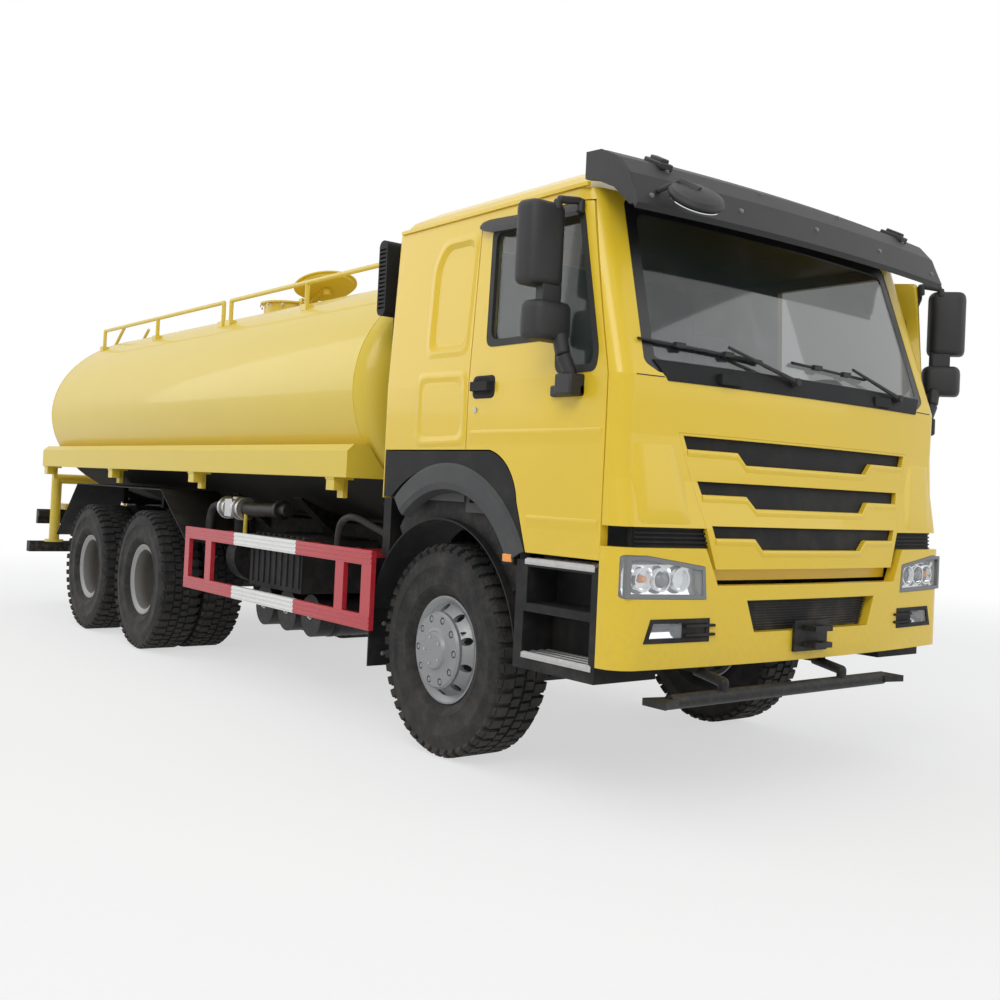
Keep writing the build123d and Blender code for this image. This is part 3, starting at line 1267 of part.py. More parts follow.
FUEL_Y = (550, 1130)
with BuildPart() as fuel_tank:
    with BuildSketch(Plane.YZ.offset(-2580)):
        with Locations(((FUEL_Y[0] + FUEL_Y[1]) / 2, 800)):
            RectangleRounded(FUEL_Y[1] - FUEL_Y[0], 560, 110)
    extrude(amount=1130)
    for x in (-2350, -1700):
        with Locations((x, FRAME_HALF_W + SNUG + 65, 850)):
            Box(80, 130, 120)
    with Locations((-1650, 900, 1090)):
        Cylinder(50, 60)
finish(fuel_tank.part, "fuel_tank")

AIR_TANK_R = 140
with BuildPart() as air_tanks:
    # three reservoirs lie crosswise on two straps that hang from the rail
    for x in (-1850, -2200, -2550):
        with Locations(Location((x, -640, 530), (90, 0, 0))):
            Cylinder(AIR_TANK_R, 640)
    for y in (-460, -800):
        with Locations((-2200, y, 660)):
            Box(860, 40, 30)
    with Locations((-2200, -(FRAME_HALF_W + SNUG + 20), 720)):
        Box(300, 40, 110)
finish(air_tanks.part, "air_tanks")

PUMP_X = -3120
PUMP_Y = -740
with BuildPart() as water_pump:
    # gearbox, bearing housing, volute and its upright outlet
    with Locations((PUMP_X + 260, PUMP_Y, 830)):
        Box(230, 300, 330)
    with Locations(Location((PUMP_X + 60, PUMP_Y, 830), (0, 90, 0))):
        Cylinder(85, 260)
    with Locations(Location((PUMP_X - 130, PUMP_Y, 830), (0, 90, 0))):
        Cylinder(190, 150)
    with Locations(Location((PUMP_X - 290, PUMP_Y, 830), (0, 90, 0))):
        Cylinder(70, 200)
    with Locations(Location((PUMP_X - 385, PUMP_Y, 830), (0, 90, 0))):
        Cylinder(105, 20)
    with Locations((PUMP_X - 130, PUMP_Y - 110, 990)):
        Cylinder(55, 340)
    with Locations((PUMP_X - 130, PUMP_Y - 110, 1170)):
        Cylinder(95, 20)
    # mounting plate on the rail
    with Locations((PUMP_X + 260, (PUMP_Y - FRAME_HALF_W - SNUG) / 2 , 830)):
        Box(200, -PUMP_Y - FRAME_HALF_W - SNUG, 200)
finish(water_pump.part, "water_pump")

# ================================================================ water outlets and the rear
NOZZLE_Z = 550
SPRAY_R = 32
with BuildPart() as spray_bar:
    add(rods([(SPRAY_X, -1060, NOZZLE_Z), (SPRAY_X, 480, NOZZLE_Z)], SPRAY_R))
    # flared duckbill nozzles
    for y, turn in ((-1060, -90), (480, 90)):
        with BuildSketch(Plane.XY.offset(NOZZLE_Z - 16)):
            with BuildLine():
                root, lip = y - turn * 0.3, y + turn
                Polyline([(SPRAY_X - 36, root), (SPRAY_X + 36, root), (SPRAY_X + NOZZLE_HALF_W, lip),
                          (SPRAY_X - NOZZLE_HALF_W, lip)], close=True)
            make_face()
        extrude(amount=32)
    for y in (140, -720):
        add(rods([(SPRAY_X, y, NOZZLE_Z), (SPRAY_X, y, 610), (1440, y, 640)], 24))
        with Locations((1430, y, 652)):
            Box(90, 90, 31)
    with Locations((1400, -290, 685)):
        Box(30, 900, 44)
    for side in (1, -1):
        with Locations(((1390 + FRAME_FRONT_X - 60) / 2, side * 385, 690)):
            Box(1390 - FRAME_FRONT_X + 60, 50, 39)
finish(spray_bar.part, "spray_bar")

UNDERRUN_Z = 610
with BuildPart() as underrun_bar:
    with Locations((UNDERRUN_X, 0, UNDERRUN_Z)):
        Box(UNDERRUN_H, 2360, 110)
    for side in (1, -1):
        with Locations(((UNDERRUN_X + FRAME_REAR_X) / 2, side * 380, UNDERRUN_Z + 150)):
            Box(FRAME_REAR_X - UNDERRUN_X + 0, 70, 310)
    add(box_between((FRAME_REAR_X - SNUG, -600, 700), (FRAME_REAR_X + 200, 600, 1100)), mode=Mode.SUBTRACT)
finish(underrun_bar.part, "underrun_bar")

with BuildPart() as tail_lamps:
    # a cross rail with a lamp cluster at each end and reflectors between
    with Locations((FRAME_REAR_X - 35 - SNUG, 0, 960)):
        Box(70, 2300, 60)
    for side in (1, -1):
        with Locations((FRAME_REAR_X - 95, side * 930, 930)):
            Box(60, 420, 150)
finish(tail_lamps.part, "tail_lamps")

with BuildPart() as rear_pipework:
    # spray main across the back, its uprights and the flanged outlets; ladder at the left
    with Locations((FRAME_REAR_X - 0, 0, FRAME_TOP_Z + 31)):
        Box(420, 1900, 60)
    add(rods([(-7450, -1020, 700), (-7450, -1020, 1330), (-7450, 1020, 1330), (-7450, 1020, 700)], 50))
    for side in (1, -1):
        with Locations((-7450, side * 1020, 690)):
            Cylinder(90, 24)
    for y in (-500, -250):
        add(rods([(-7640, y, 1060), (-7640, y, 2650), (-7180, y, 2960)], 16))
    for z in range(1200, 2700, 280):
        add(rods([(-7640, -500, z), (-7640, -250, z)], 13))
    for y in (-500, -250):
        with Locations((-7640, y, 1065)):
            Box(60, 60, 20)
    for y in (-700, 700):
        add(rods([(-7450, y, 1040), (-7450, y, 1330)], 30))
finish(rear_pipework.part, "rear_pipework")
finish(tow_bracket.part, "tow_bracket")
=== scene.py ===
"""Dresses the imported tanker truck: paint, plastic, rubber and glass on the CAD pieces, and the
small parts that they carry, such as tyre treads, bolts, wipers, lamps and hoses."""

import math

import bmesh
import bpy
from bpy.props import FloatProperty, FloatVectorProperty, PointerProperty
from mathutils import Matrix, Vector
from mathutils.bvhtree import BVHTree


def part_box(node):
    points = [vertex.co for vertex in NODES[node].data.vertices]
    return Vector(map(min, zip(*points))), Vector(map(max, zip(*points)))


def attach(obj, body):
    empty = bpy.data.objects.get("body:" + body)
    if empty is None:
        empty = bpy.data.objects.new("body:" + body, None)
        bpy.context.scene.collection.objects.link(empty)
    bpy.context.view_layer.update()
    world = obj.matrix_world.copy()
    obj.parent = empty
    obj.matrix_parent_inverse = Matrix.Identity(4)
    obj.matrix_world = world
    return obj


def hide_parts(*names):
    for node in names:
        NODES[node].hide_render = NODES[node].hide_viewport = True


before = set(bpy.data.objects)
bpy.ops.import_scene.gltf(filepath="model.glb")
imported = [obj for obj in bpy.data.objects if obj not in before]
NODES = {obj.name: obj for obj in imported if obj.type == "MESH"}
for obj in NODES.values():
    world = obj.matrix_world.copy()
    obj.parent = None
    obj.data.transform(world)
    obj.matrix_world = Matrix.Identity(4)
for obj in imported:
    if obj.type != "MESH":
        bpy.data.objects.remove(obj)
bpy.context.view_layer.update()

bl_info = {
    "name": "Tanker truck dressing",
    "version": (1, 0, 0),
    "blender": (4, 5, 0),
    "location": "View3D > Sidebar > Tanker",
    "description": "Finishes and small parts for the tanker truck",
    "category": "Object",
}


def middle(node):
    """The centre of a CAD node's box."""
    low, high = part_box(node)
    return (low + high) / 2


# The drawing's own zero: the front axle's x, the centreline's y and the road's z.
AXLE = (middle("front_tyre_left") + middle("front_tyre_right")) / 2
AXLE.z = 0.0


def at(x, y, z):
    """A point in the row frame, from one measured from the front axle, the centreline and the road."""
    return AXLE + Vector((x, y, z))


# ------------------------------------------------------------------ shader kit
class Value:
    """A number on a shader socket that takes part in Python arithmetic."""

    def __init__(self, finish, socket):
        self.finish = finish
        self.socket = socket

    def _math(self, operation, *numbers):
        return self.finish.node("Math", {"operation": operation}, *numbers)

    def __add__(self, other):
        return self._math("ADD", self, other)

    def __radd__(self, other):
        return self._math("ADD", other, self)

    def __sub__(self, other):
        return self._math("SUBTRACT", self, other)

    def __rsub__(self, other):
        return self._math("SUBTRACT", other, self)

    def __mul__(self, other):
        return self._math("MULTIPLY", self, other)

    def __rmul__(self, other):
        return self._math("MULTIPLY", other, self)

    def __lt__(self, other):
        return self._math("LESS_THAN", self, other)

    def ramp(self, low, high):
        """0 below low, 1 above high, smooth between."""
        settings = {"interpolation_type": "SMOOTHSTEP", "clamp": True}
        return self.finish.node("MapRange", settings, self, low, high, 0.0, 1.0)


class Finish:
    """A material being put together on one Principled shader."""

    def __init__(self, name):
        self.material = bpy.data.materials.new(name)
        self.material.use_nodes = True
        self.tree = self.material.node_tree
        self.shader = self.tree.nodes["Principled BSDF"]
        self._object = None

    def node(self, kind, settings, *inputs, output=0):
        """Adds a shader node: its settings first, then its sockets in order (None skips one)."""
        made = self.tree.nodes.new("ShaderNode" + kind)
        for key, value in settings.items():
            setattr(made, key, value)
        sockets = [s for s in made.inputs if s.enabled]
        for socket, value in zip(sockets, inputs):
            if isinstance(value, Value):
                self.tree.links.new(value.socket, socket)
            elif value is not None:
                socket.default_value = value
        outputs = [s for s in made.outputs if s.enabled]
        return Value(self, outputs[output])

    @property
    def place(self):
        """Object coordinates, which are the row frame's metres."""
        if self._object is None:
            self._object = self.node("TexCoord", {}, output=3)
        return self._object

    def axis(self, name):
        """One of the place's three coordinates."""
        return self.node("SeparateXYZ", {}, self.place, output="XYZ".index(name))

    def stretched(self, x, y, z):
        """The place scaled by a different number on each axis."""
        return self.node("Mapping", {"vector_type": "POINT"}, self.place, None, None, (x, y, z))

    def noise(self, scale, detail=2.0, rough=0.5, where=None):
        return self.node("TexNoise", {}, where or self.place, scale, detail, rough)

    def blend(self, factor, a, b):
        """A colour between a and b."""
        a = a if isinstance(a, Value) else (*a[:3], 1.0)
        b = b if isinstance(b, Value) else (*b[:3], 1.0)
        return self.node("Mix", {"data_type": "RGBA"}, factor, a, b)

    def bump(self, height, distance, strength=1.0):
        return self.node("Bump", {}, strength, distance, None, height)

    def set(self, **sockets):
        """Sets or links sockets of the Principled shader by name, with _ for a space."""
        for key, value in sockets.items():
            socket = self.shader.inputs[key.replace("_", " ")]
            if isinstance(value, Value):
                self.tree.links.new(value.socket, socket)
            elif socket.type == "RGBA":
                socket.default_value = (*value[:3], 1.0)
            else:
                socket.default_value = value
        return self.material


ROAD_DUST = (0.30, 0.26, 0.20)
# painted shade: the black that stands in for the shadow on the tank's belly under the skirts
PAINTED_SHADE_BLACK = (0.012, 0.012, 0.011)


def glossy_paint(name, colour, dust=0.25, rough=0.22, coat=0.6, shaded_below=0.0):
    """Baked enamel: slight waves, fine orange peel and a veil of road dust low down.
    Below a given height it turns black: painted shade that stands in for the shadow on the tank's belly under
    the skirts."""
    f = Finish(name)
    clouds = f.noise(1.3, 3.0)
    specks = f.noise(38.0, 4.0, 0.65)
    low = 1.0 - f.axis("Z").ramp(0.35, 1.5)
    veil = low * specks.ramp(0.35, 0.75) * dust + clouds.ramp(0.45, 0.8) * 0.05
    tint = f.blend(clouds, [c * 0.95 for c in colour], [min(1.0, c * 1.03) for c in colour])
    # painted shade: below that height the paint turns black, for the shadow under the skirts
    if shaded_below:
        above = f.axis("Z").ramp(shaded_below - 0.03, shaded_below + 0.02)
        tint = f.blend(above, PAINTED_SHADE_BLACK, tint)
        coat = above * coat
        rough = 0.8 - above * (0.8 - rough)
    peel = f.noise(420.0, 2.0)
    return f.set(
        Base_Color=f.blend(veil, tint, ROAD_DUST),
        Roughness=rough + veil * 0.5 + specks * 0.05,
        Specular_IOR_Level=0.35,
        Coat_Weight=coat,
        Coat_Roughness=0.06,
        Normal=f.bump(peel, 0.0004, 0.25),
    )


def flat_paint(name, colour, dust=0.45, rough=0.55):
    """Chassis paint: satin, dusty and a little rough to the touch."""
    f = Finish(name)
    specks = f.noise(22.0, 5.0, 0.7)
    grain = f.noise(260.0, 3.0)
    low = 1.0 - f.axis("Z").ramp(0.3, 1.9)
    veil = specks.ramp(0.38, 0.8) * dust * (low + 0.25)
    return f.set(
        Base_Color=f.blend(veil, colour, ROAD_DUST),
        Roughness=rough + veil * 0.3 + grain * 0.1,
        Specular_IOR_Level=0.25,
        Normal=f.bump(grain, 0.001, 0.35),
    )


def grained_plastic(name, colour, grain_size=900.0, rough=0.5, dust=0.3, shine=0.5):
    """Moulded plastic with a leather-like grain and dust in its hollows."""
    f = Finish(name)
    cells = f.node("TexVoronoi", {"feature": "F1"}, f.place, grain_size)
    haze = f.noise(6.0, 4.0, 0.6)
    low = 1.0 - f.axis("Z").ramp(0.4, 2.2)
    veil = haze.ramp(0.4, 0.85) * dust * (low + 0.15)
    return f.set(
        Base_Color=f.blend(veil, colour, ROAD_DUST),
        Roughness=rough + cells * 0.2,
        Specular_IOR_Level=shine,
        Normal=f.bump(cells, 0.0006, 0.5),
    )


def tyre_rubber(name, colour):
    """Dark rubber, greyer where it meets the road and on the shoulders."""
    f = Finish(name)
    haze = f.noise(9.0, 5.0, 0.7)
    grain = f.noise(180.0, 4.0, 0.6)
    low = 1.0 - f.axis("Z").ramp(0.02, 0.6)
    veil = haze.ramp(0.35, 0.8) * 0.28 + low * 0.12
    return f.set(
        Base_Color=f.blend(veil, colour, (0.16, 0.145, 0.12)),
        Roughness=0.72 + grain * 0.2,
        Specular_IOR_Level=0.3,
        Normal=f.bump(grain, 0.0012, 0.5),
    )


def rough_iron(name, colour):
    """Painted casting: pitted, with rust showing through here and there."""
    f = Finish(name)
    pits = f.noise(90.0, 6.0, 0.7)
    rust = f.noise(7.0, 4.0, 0.7).ramp(0.56, 0.72)
    return f.set(
        Base_Color=f.blend(rust * 0.5, colour, (0.16, 0.07, 0.035)),
        Roughness=0.6 + pits * 0.3,
        Metallic=0.1,
        Normal=f.bump(pits, 0.003, 0.6),
    )


def wheel_paint(name, colour, rough=0.38, metallic=0.35, lip=0.0):
    """Silver wheel enamel with brake dust; given a lip, painted shade darkens it deep inside a dish.
    The dish's lip is that far from the centreline."""
    f = Finish(name)
    specks = f.noise(60.0, 5.0, 0.7)
    haze = f.noise(5.0, 3.0)
    veil = specks.ramp(0.45, 0.8) * 0.3 * haze
    # painted shade: the colour goes dark deeper inside the dish, away from its lip
    if lip:
        across = f.node("Math", {"operation": "ABSOLUTE"}, f.axis("Y") - AXLE.y)
        veil = veil + (lip - across).ramp(0.01, 0.12) * 0.8
    return f.set(
        Base_Color=f.blend(veil, colour, (0.09, 0.075, 0.06)),
        Roughness=rough + veil * 0.5 + specks * 0.08,
        Metallic=metallic,
        Normal=f.bump(specks, 0.0006, 0.25),
    )


def brushed_metal(name, colour, rough, along=(4.0, 90.0, 90.0)):
    """Bare rolled metal with lengthwise lines."""
    f = Finish(name)
    lines = f.noise(12.0, 4.0, 0.6, f.stretched(*along))
    smears = f.noise(5.0, 3.0)
    return f.set(
        Base_Color=f.blend(smears, [c * 0.85 for c in colour], colour),
        Roughness=rough + lines * 0.15,
        Metallic=0.9,
        Normal=f.bump(lines, 0.0005, 0.2),
    )


def clear_glass(name, colour, alpha, rough=0.03):
    """Thin glazing: see-through, tinted, with a faint film of dust."""
    f = Finish(name)
    film = f.noise(3.0, 5.0, 0.7).ramp(0.4, 0.9)
    return f.set(
        Base_Color=f.blend(film * 0.15, colour, (0.5, 0.5, 0.48)),
        Alpha=alpha + film * 0.05,
        Roughness=rough + film * 0.04,
        Specular_IOR_Level=0.9,
        Coat_Weight=0.4,
    )


def clear_lens(name, colour, alpha=1.0, flutes=0.0):
    """Moulded lamp cover; flutes is the pitch in metres of its ribs, or 0 for none."""
    f = Finish(name)
    haze = f.noise(40.0, 2.0)
    height, depth = haze, 0.0002
    if flutes:
        waves = 1.0 / flutes / (2 * math.pi)
        height, depth = f.node("TexWave", {"bands_direction": "Y"}, f.place, waves), 0.0015
    return f.set(
        Base_Color=f.blend(haze, colour, [c * 0.93 for c in colour]),
        Alpha=alpha,
        Roughness=0.05 + haze * 0.04,
        Coat_Weight=0.6,
        Normal=f.bump(height, depth, 0.4),
    )


def bright_mirror(name, colour):
    """Silvered glass or a polished reflector."""
    f = Finish(name)
    film = f.noise(8.0, 3.0)
    return f.set(
        Base_Color=f.blend(film * 0.2, colour, (0.6, 0.6, 0.6)),
        Metallic=1.0,
        Roughness=0.03 + film * 0.06,
    )


def woven_cloth(name, colour):
    """Seat cloth: a fine crossed weave."""
    f = Finish(name)
    warp = f.node("TexWave", {"bands_direction": "X"}, f.place, 160.0, 2.0)
    weft = f.node("TexWave", {"bands_direction": "Y"}, f.place, 160.0, 2.0)
    weave = warp * weft
    wear = f.noise(4.0, 4.0)
    return f.set(
        Base_Color=f.blend(weave * 0.6 + wear * 0.3, colour, [c * 1.5 for c in colour]),
        Roughness=0.9,
        Normal=f.bump(weave, 0.001, 0.6),
    )


def chequered(name, colour):
    """Knurled tread plate: small raised pips on worn aluminium."""
    f = Finish(name)
    square = {"feature": "F1", "distance": "CHEBYCHEV"}
    pips = f.node("TexVoronoi", square, f.place, 55.0, None, None, None, 0.1)
    wear = f.noise(30.0, 4.0)
    return f.set(
        Base_Color=f.blend(wear * 0.5, colour, (0.25, 0.24, 0.22)),
        Roughness=0.35 + wear * 0.2,
        Metallic=0.85,
        Normal=f.bump(1.0 - pips, 0.004, 0.8),
    )


def banded(name, colour, second, half_length, centre_x):
    """Two-tone safety paint: the middle stretch of a rail is the second colour."""
    f = Finish(name)
    away = f.node("Math", {"operation": "ABSOLUTE"}, f.axis("X") - centre_x)
    inside = away < half_length
    specks = f.noise(30.0, 5.0, 0.7)
    tint = f.blend(inside, colour, second)
    return f.set(
        Base_Color=f.blend(specks.ramp(0.45, 0.9) * 0.25, tint, ROAD_DUST),
        Roughness=0.35 + specks * 0.1,
        Coat_Weight=0.3,
        Normal=f.bump(f.noise(300.0), 0.0005, 0.2),
    )


# ------------------------------------------------------------------ finishes
def make_finishes(look):
    """Every finish on the truck, by name."""
    cab, tank = tuple(look.body_yellow), tuple(look.tank_yellow)
    crimson, white = (0.50, 0.02, 0.035), (0.8, 0.8, 0.78)
    dish_lip = AXLE.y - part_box("rear_wheels_right")[0].y
    guard_middle = AXLE.x - 2.005
    # name, the recipe that makes it, and the recipe's settings
    table = (
        ("cab_yellow", glossy_paint, dict(colour=cab, dust=0.12, rough=0.28, coat=0.3)),
        ("tank_yellow", glossy_paint, dict(colour=tank, dust=0.2, rough=0.4, coat=0.2)),
        # the tank's shell, with painted shade: black below 1.52 m for the shadow under the skirts
        ("tank_shell", glossy_paint, dict(colour=tank, dust=0.2, rough=0.36, coat=0.25, shaded_below=1.52)),
        ("fitting_yellow", glossy_paint, dict(colour=tank, dust=0.35, rough=0.35, coat=0.3)),
        ("trim_plastic", grained_plastic, dict(colour=(0.012, 0.0125, 0.0135), dust=0.12, shine=0.2)),
        # painted highlight: the trim's black plastic made about twice as light, so that the flare looks lit
        ("flare_plastic", grained_plastic, dict(colour=(0.024, 0.026, 0.028), rough=0.42, dust=0.12)),
        ("visor_plastic", grained_plastic, dict(colour=(0.013, 0.013, 0.0145), rough=0.42, dust=0.12)),
        ("inside_plastic", grained_plastic, dict(colour=(0.055, 0.055, 0.055), rough=0.65, dust=0.05)),
        ("chassis_black", flat_paint, dict(colour=(0.012, 0.012, 0.013), dust=0.22)),
        ("gear_black", flat_paint, dict(colour=(0.014, 0.014, 0.015), dust=0.1, rough=0.42)),
        ("engine_grey", rough_iron, dict(colour=(0.1, 0.105, 0.11))),
        ("axle_iron", rough_iron, dict(colour=(0.045, 0.045, 0.048))),
        ("tyre_rubber", tyre_rubber, dict(colour=(0.018, 0.018, 0.019))),
        ("front_wheel_silver", wheel_paint, dict(colour=(0.27, 0.275, 0.28), metallic=0.5)),
        # rear wheels, with painted shade deep inside their dishes
        ("rear_wheel_silver", wheel_paint,
         dict(colour=(0.30, 0.30, 0.285), rough=0.45, metallic=0.4, lip=dish_lip)),
        ("windscreen_glass", clear_glass, dict(colour=(0.018, 0.028, 0.028), alpha=0.6)),
        ("door_glass", clear_glass, dict(colour=(0.06, 0.08, 0.075), alpha=0.36)),
        ("lamp_cover", clear_lens, dict(colour=(0.8, 0.83, 0.85), alpha=0.28)),
        ("amber_lens", clear_lens, dict(colour=(0.95, 0.32, 0.02), flutes=0.008)),
        ("red_lens", clear_lens, dict(colour=(0.6, 0.02, 0.02), flutes=0.01)),
        ("reflector", bright_mirror, dict(colour=(0.8, 0.82, 0.84))),
        ("mirror_silver", bright_mirror, dict(colour=(0.72, 0.76, 0.8))),
        ("bolt_zinc", brushed_metal, dict(colour=(0.5, 0.5, 0.5), rough=0.4)),
        ("tread_plate", chequered, dict(colour=(0.55, 0.55, 0.55))),
        ("tank_aluminium", brushed_metal, dict(colour=(0.6, 0.6, 0.6), rough=0.3)),
        ("seat_cloth", woven_cloth, dict(colour=(0.1, 0.1, 0.115))),
        ("guard_stripes", banded,
         dict(colour=crimson, second=white, half_length=look.white_band / 2, centre_x=guard_middle)),
        ("hose_black", grained_plastic, dict(colour=(0.02, 0.02, 0.02), grain_size=300.0, rough=0.6)),
        ("frit_black", grained_plastic,
         dict(colour=(0.012, 0.012, 0.013), grain_size=700.0, rough=0.2, dust=0.05)),
        ("lamp_grey", grained_plastic,
         dict(colour=(0.20, 0.205, 0.21), grain_size=500.0, rough=0.45, dust=0.1)),
        ("dark_lens", clear_lens, dict(colour=(0.10, 0.11, 0.12))),
    )
    return {name: recipe(name, **settings) for name, recipe, settings in table}


# Which finish each CAD node wears.
NODE_FINISHES = (
    ("cab_yellow", ("cab_body", "cab_roof", "cab_front_panel", "grille",
                    "door_left", "door_right", "bumper")),
    ("tank_yellow", ("manhole_lid", "tank_skirts")),
    ("tank_shell", ("water_tank",)),
    ("fitting_yellow", ("top_rails", "rear_pipework")),
    ("trim_plastic", ("grille_mesh", "cab_arch_trim", "cab_steps",
                      "front_mudguards", "rear_mudguards", "air_intake", "battery_box")),
    ("visor_plastic", ("sun_visor", "mirror_left", "mirror_right")),
    ("inside_plastic", ("dashboard", "steering_wheel", "cab_floor")),
    ("chassis_black", ("chassis_frame", "underrun_bar", "leaf_springs", "propshafts", "tank_subframe")),
    ("gear_black", ("air_tanks", "water_pump", "tow_bracket", "tail_lamps", "spray_bar")),
    ("engine_grey", ("engine_block",)),
    ("axle_iron", ("front_axle", "rear_axles", "knuckle_left", "knuckle_right", "tie_rod")),
    ("tyre_rubber", ("front_tyre_left", "front_tyre_right", "middle_tyres_left", "middle_tyres_right",
                     "rear_tyres_left", "rear_tyres_right")),
    ("front_wheel_silver", ("front_wheel_left", "front_wheel_right")),
    ("rear_wheel_silver", ("middle_wheels_left", "middle_wheels_right",
                           "rear_wheels_left", "rear_wheels_right")),
    ("windscreen_glass", ("windscreen",)),
    ("door_glass", ("door_glass_left", "door_glass_right")),
    ("lamp_cover", ("front_lamps",)),
    ("tank_aluminium", ("fuel_tank",)),
    ("seat_cloth", ("seats_and_bunk",)),
    ("guard_stripes", ("side_guards",)),
)

FINISHES = {}


# ------------------------------------------------------------------ mesh kit
def mesh_piece(name, shape, body, finish):
    """Turns a bmesh into a piece that rides on a body and takes one finish."""
    mesh = bpy.data.meshes.new(name)
    bmesh.ops.recalc_face_normals(shape, faces=shape.faces)
    shape.to_mesh(mesh)
    shape.free()
    return placed(name, mesh, body, finish)


def placed(name, mesh, body, finish):
    """Links a finished mesh as an object at the origin, on its body."""
    piece = bpy.data.objects.new(name, mesh)
    bpy.context.scene.collection.objects.link(piece)
    mesh.materials.clear()
    mesh.materials.append(FINISHES[finish])
    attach(piece, body)
    return piece


SHARP_EDGE, SHARP_SHADE = math.radians(40.0), math.radians(35.0)


def soften(piece, width):
    """Rounds a piece's sharp edges and shades it smooth."""
    bevel = piece.modifiers.new("edges", "BEVEL")
    bevel.width = width
    bevel.segments = 2
    bevel.limit_method = "ANGLE"
    bevel.angle_limit = SHARP_EDGE
    for face in piece.data.polygons:
        face.use_smooth = True
    piece.data.set_sharp_from_angle(angle=SHARP_SHADE)


def block(shape, low, high, turn=None, about=None):
    """Adds a box between two corners, turned by a matrix about a point if given."""
    low, high = Vector(low), Vector(high)
    made = bmesh.ops.create_cube(shape, size=1.0)["verts"]
    size = high - low
    for vert in made:
        vert.co = Vector(((vert.co[i] + 0.5) * size[i] + low[i]) for i in range(3))
        if turn is not None:
            pivot = about if about is not None else (low + high) / 2
            vert.co = turn @ (vert.co - pivot) + pivot


def barrel(shape, start, end, radius, end_radius=None, sides=24):
    """Adds a round bar or cone from start to end."""
    start, end = Vector(start), Vector(end)
    run = end - start
    turn = run.to_track_quat("Z", "Y").to_matrix().to_4x4()
    matrix = Matrix.Translation((start + end) / 2) @ turn
    bmesh.ops.create_cone(shape, cap_ends=True, segments=sides, radius1=radius,
                          radius2=radius if end_radius is None else end_radius,
                          depth=run.length, matrix=matrix)


def prism(shape, outline, offset):
    """Adds a closed outline of points pushed along offset to make a solid."""
    near = [shape.verts.new(p) for p in outline]
    far = [shape.verts.new(Vector(p) + Vector(offset)) for p in outline]
    shape.faces.new(near)
    shape.faces.new(list(reversed(far)))
    for i in range(len(near)):
        j = (i + 1) % len(near)
        shape.faces.new((near[j], near[i], far[i], far[j]))


def turned(shape, profile, centre, axis, sides):
    """Adds a ring-shaped solid: (radius, along) points turned about an axis through centre."""
    quat = Vector(axis).to_track_quat("Z", "Y")
    rings = []
    for k in range(sides):
        angle = 2 * math.pi * k / sides
        ray = Vector((math.cos(angle), math.sin(angle), 0.0))
        places = [Vector(centre) + quat @ (ray * r + Vector((0, 0, t))) for r, t in profile]
        rings.append([shape.verts.new(place) for place in places])
    count = len(profile)
    for k in range(sides):
        a, b = rings[k], rings[(k + 1) % sides]
        for i in range(count):
            j = (i + 1) % count
            shape.faces.new((a[i], a[j], b[j], b[i]))


def tube(name, points, radius, body, finish, sides):
    """A bent pipe or hose through the points, as a mesh."""
    curve = bpy.data.curves.new(name, "CURVE")
    curve.dimensions = "3D"
    curve.bevel_depth = radius
    curve.bevel_resolution = max(1, sides // 4 - 1)
    curve.use_fill_caps = True
    spline = curve.splines.new("NURBS")
    spline.points.add(len(points) - 1)
    for point, co in zip(spline.points, points):
        point.co = (*co, 1.0)
    spline.order_u = 3
    spline.use_endpoint_u = True
    spline.resolution_u = 6
    holder = bpy.data.objects.new(name + "_route", curve)
    bpy.context.scene.collection.objects.link(holder)
    depsgraph = bpy.context.evaluated_depsgraph_get()
    mesh = bpy.data.meshes.new_from_object(holder.evaluated_get(depsgraph))
    bpy.data.objects.remove(holder)
    bpy.data.curves.remove(curve)
    shape = bmesh.new()
    shape.from_mesh(mesh)
    bmesh.ops.remove_doubles(shape, verts=shape.verts, dist=1e-5)
    for face in shape.faces:
        face.smooth = True
    mesh_piece(name, shape, body, finish)


# ------------------------------------------------------------------ geometry nodes
class Recipe:
    """A geometry node tree under construction, with named inputs."""

    def __init__(self, name):
        self.tree = bpy.data.node_groups.new(name, "GeometryNodeTree")
        self.tree.interface.new_socket("Geometry", in_out="INPUT", socket_type="NodeSocketGeometry")
        self.tree.interface.new_socket("Geometry", in_out="OUTPUT", socket_type="NodeSocketGeometry")
        self.start = self.tree.nodes.new("NodeGroupInput")
        self.end = self.tree.nodes.new("NodeGroupOutput")

    def value(self, name, default, kind="NodeSocketFloat"):
        """Adds a named input and gives its socket."""
        item = self.tree.interface.new_socket(name, in_out="INPUT", socket_type=kind)
        item.default_value = default
        return self.start.outputs[name]

    def node(self, kind, settings, **inputs):
        """Adds a node: its settings first, then its sockets by name, with _ for a space."""
        made = self.tree.nodes.new(kind)
        for key, value in settings.items():
            setattr(made, key, value)
        for key, value in inputs.items():
            socket = made.inputs[key.replace("_", " ")]
            if isinstance(value, bpy.types.NodeSocket):
                self.tree.links.new(value, socket)
            else:
                socket.default_value = value
        return made

    def times(self, number, factor):
        """A number socket multiplied by a plain factor."""
        made = self.node("ShaderNodeMath", {"operation": "MULTIPLY"})
        self.tree.links.new(number, made.inputs[0])
        made.inputs[1].default_value = factor
        return made.outputs[0]

    def facing(self, name):
        """A direction kept on the carrier's points."""
        settings = {"data_type": "FLOAT_VECTOR"}
        return self.node("GeometryNodeInputNamedAttribute", settings, Name=name).outputs[0]

    def finish(self, geometry, material):
        """Ends the tree in Realize Instances and Set Material."""
        real = self.node("GeometryNodeRealizeInstances", {}, Geometry=geometry)
        dressed = self.node("GeometryNodeSetMaterial", {}, Geometry=real.outputs[0], Material=material)
        self.tree.links.new(dressed.outputs[0], self.end.inputs[0])
        return self.tree


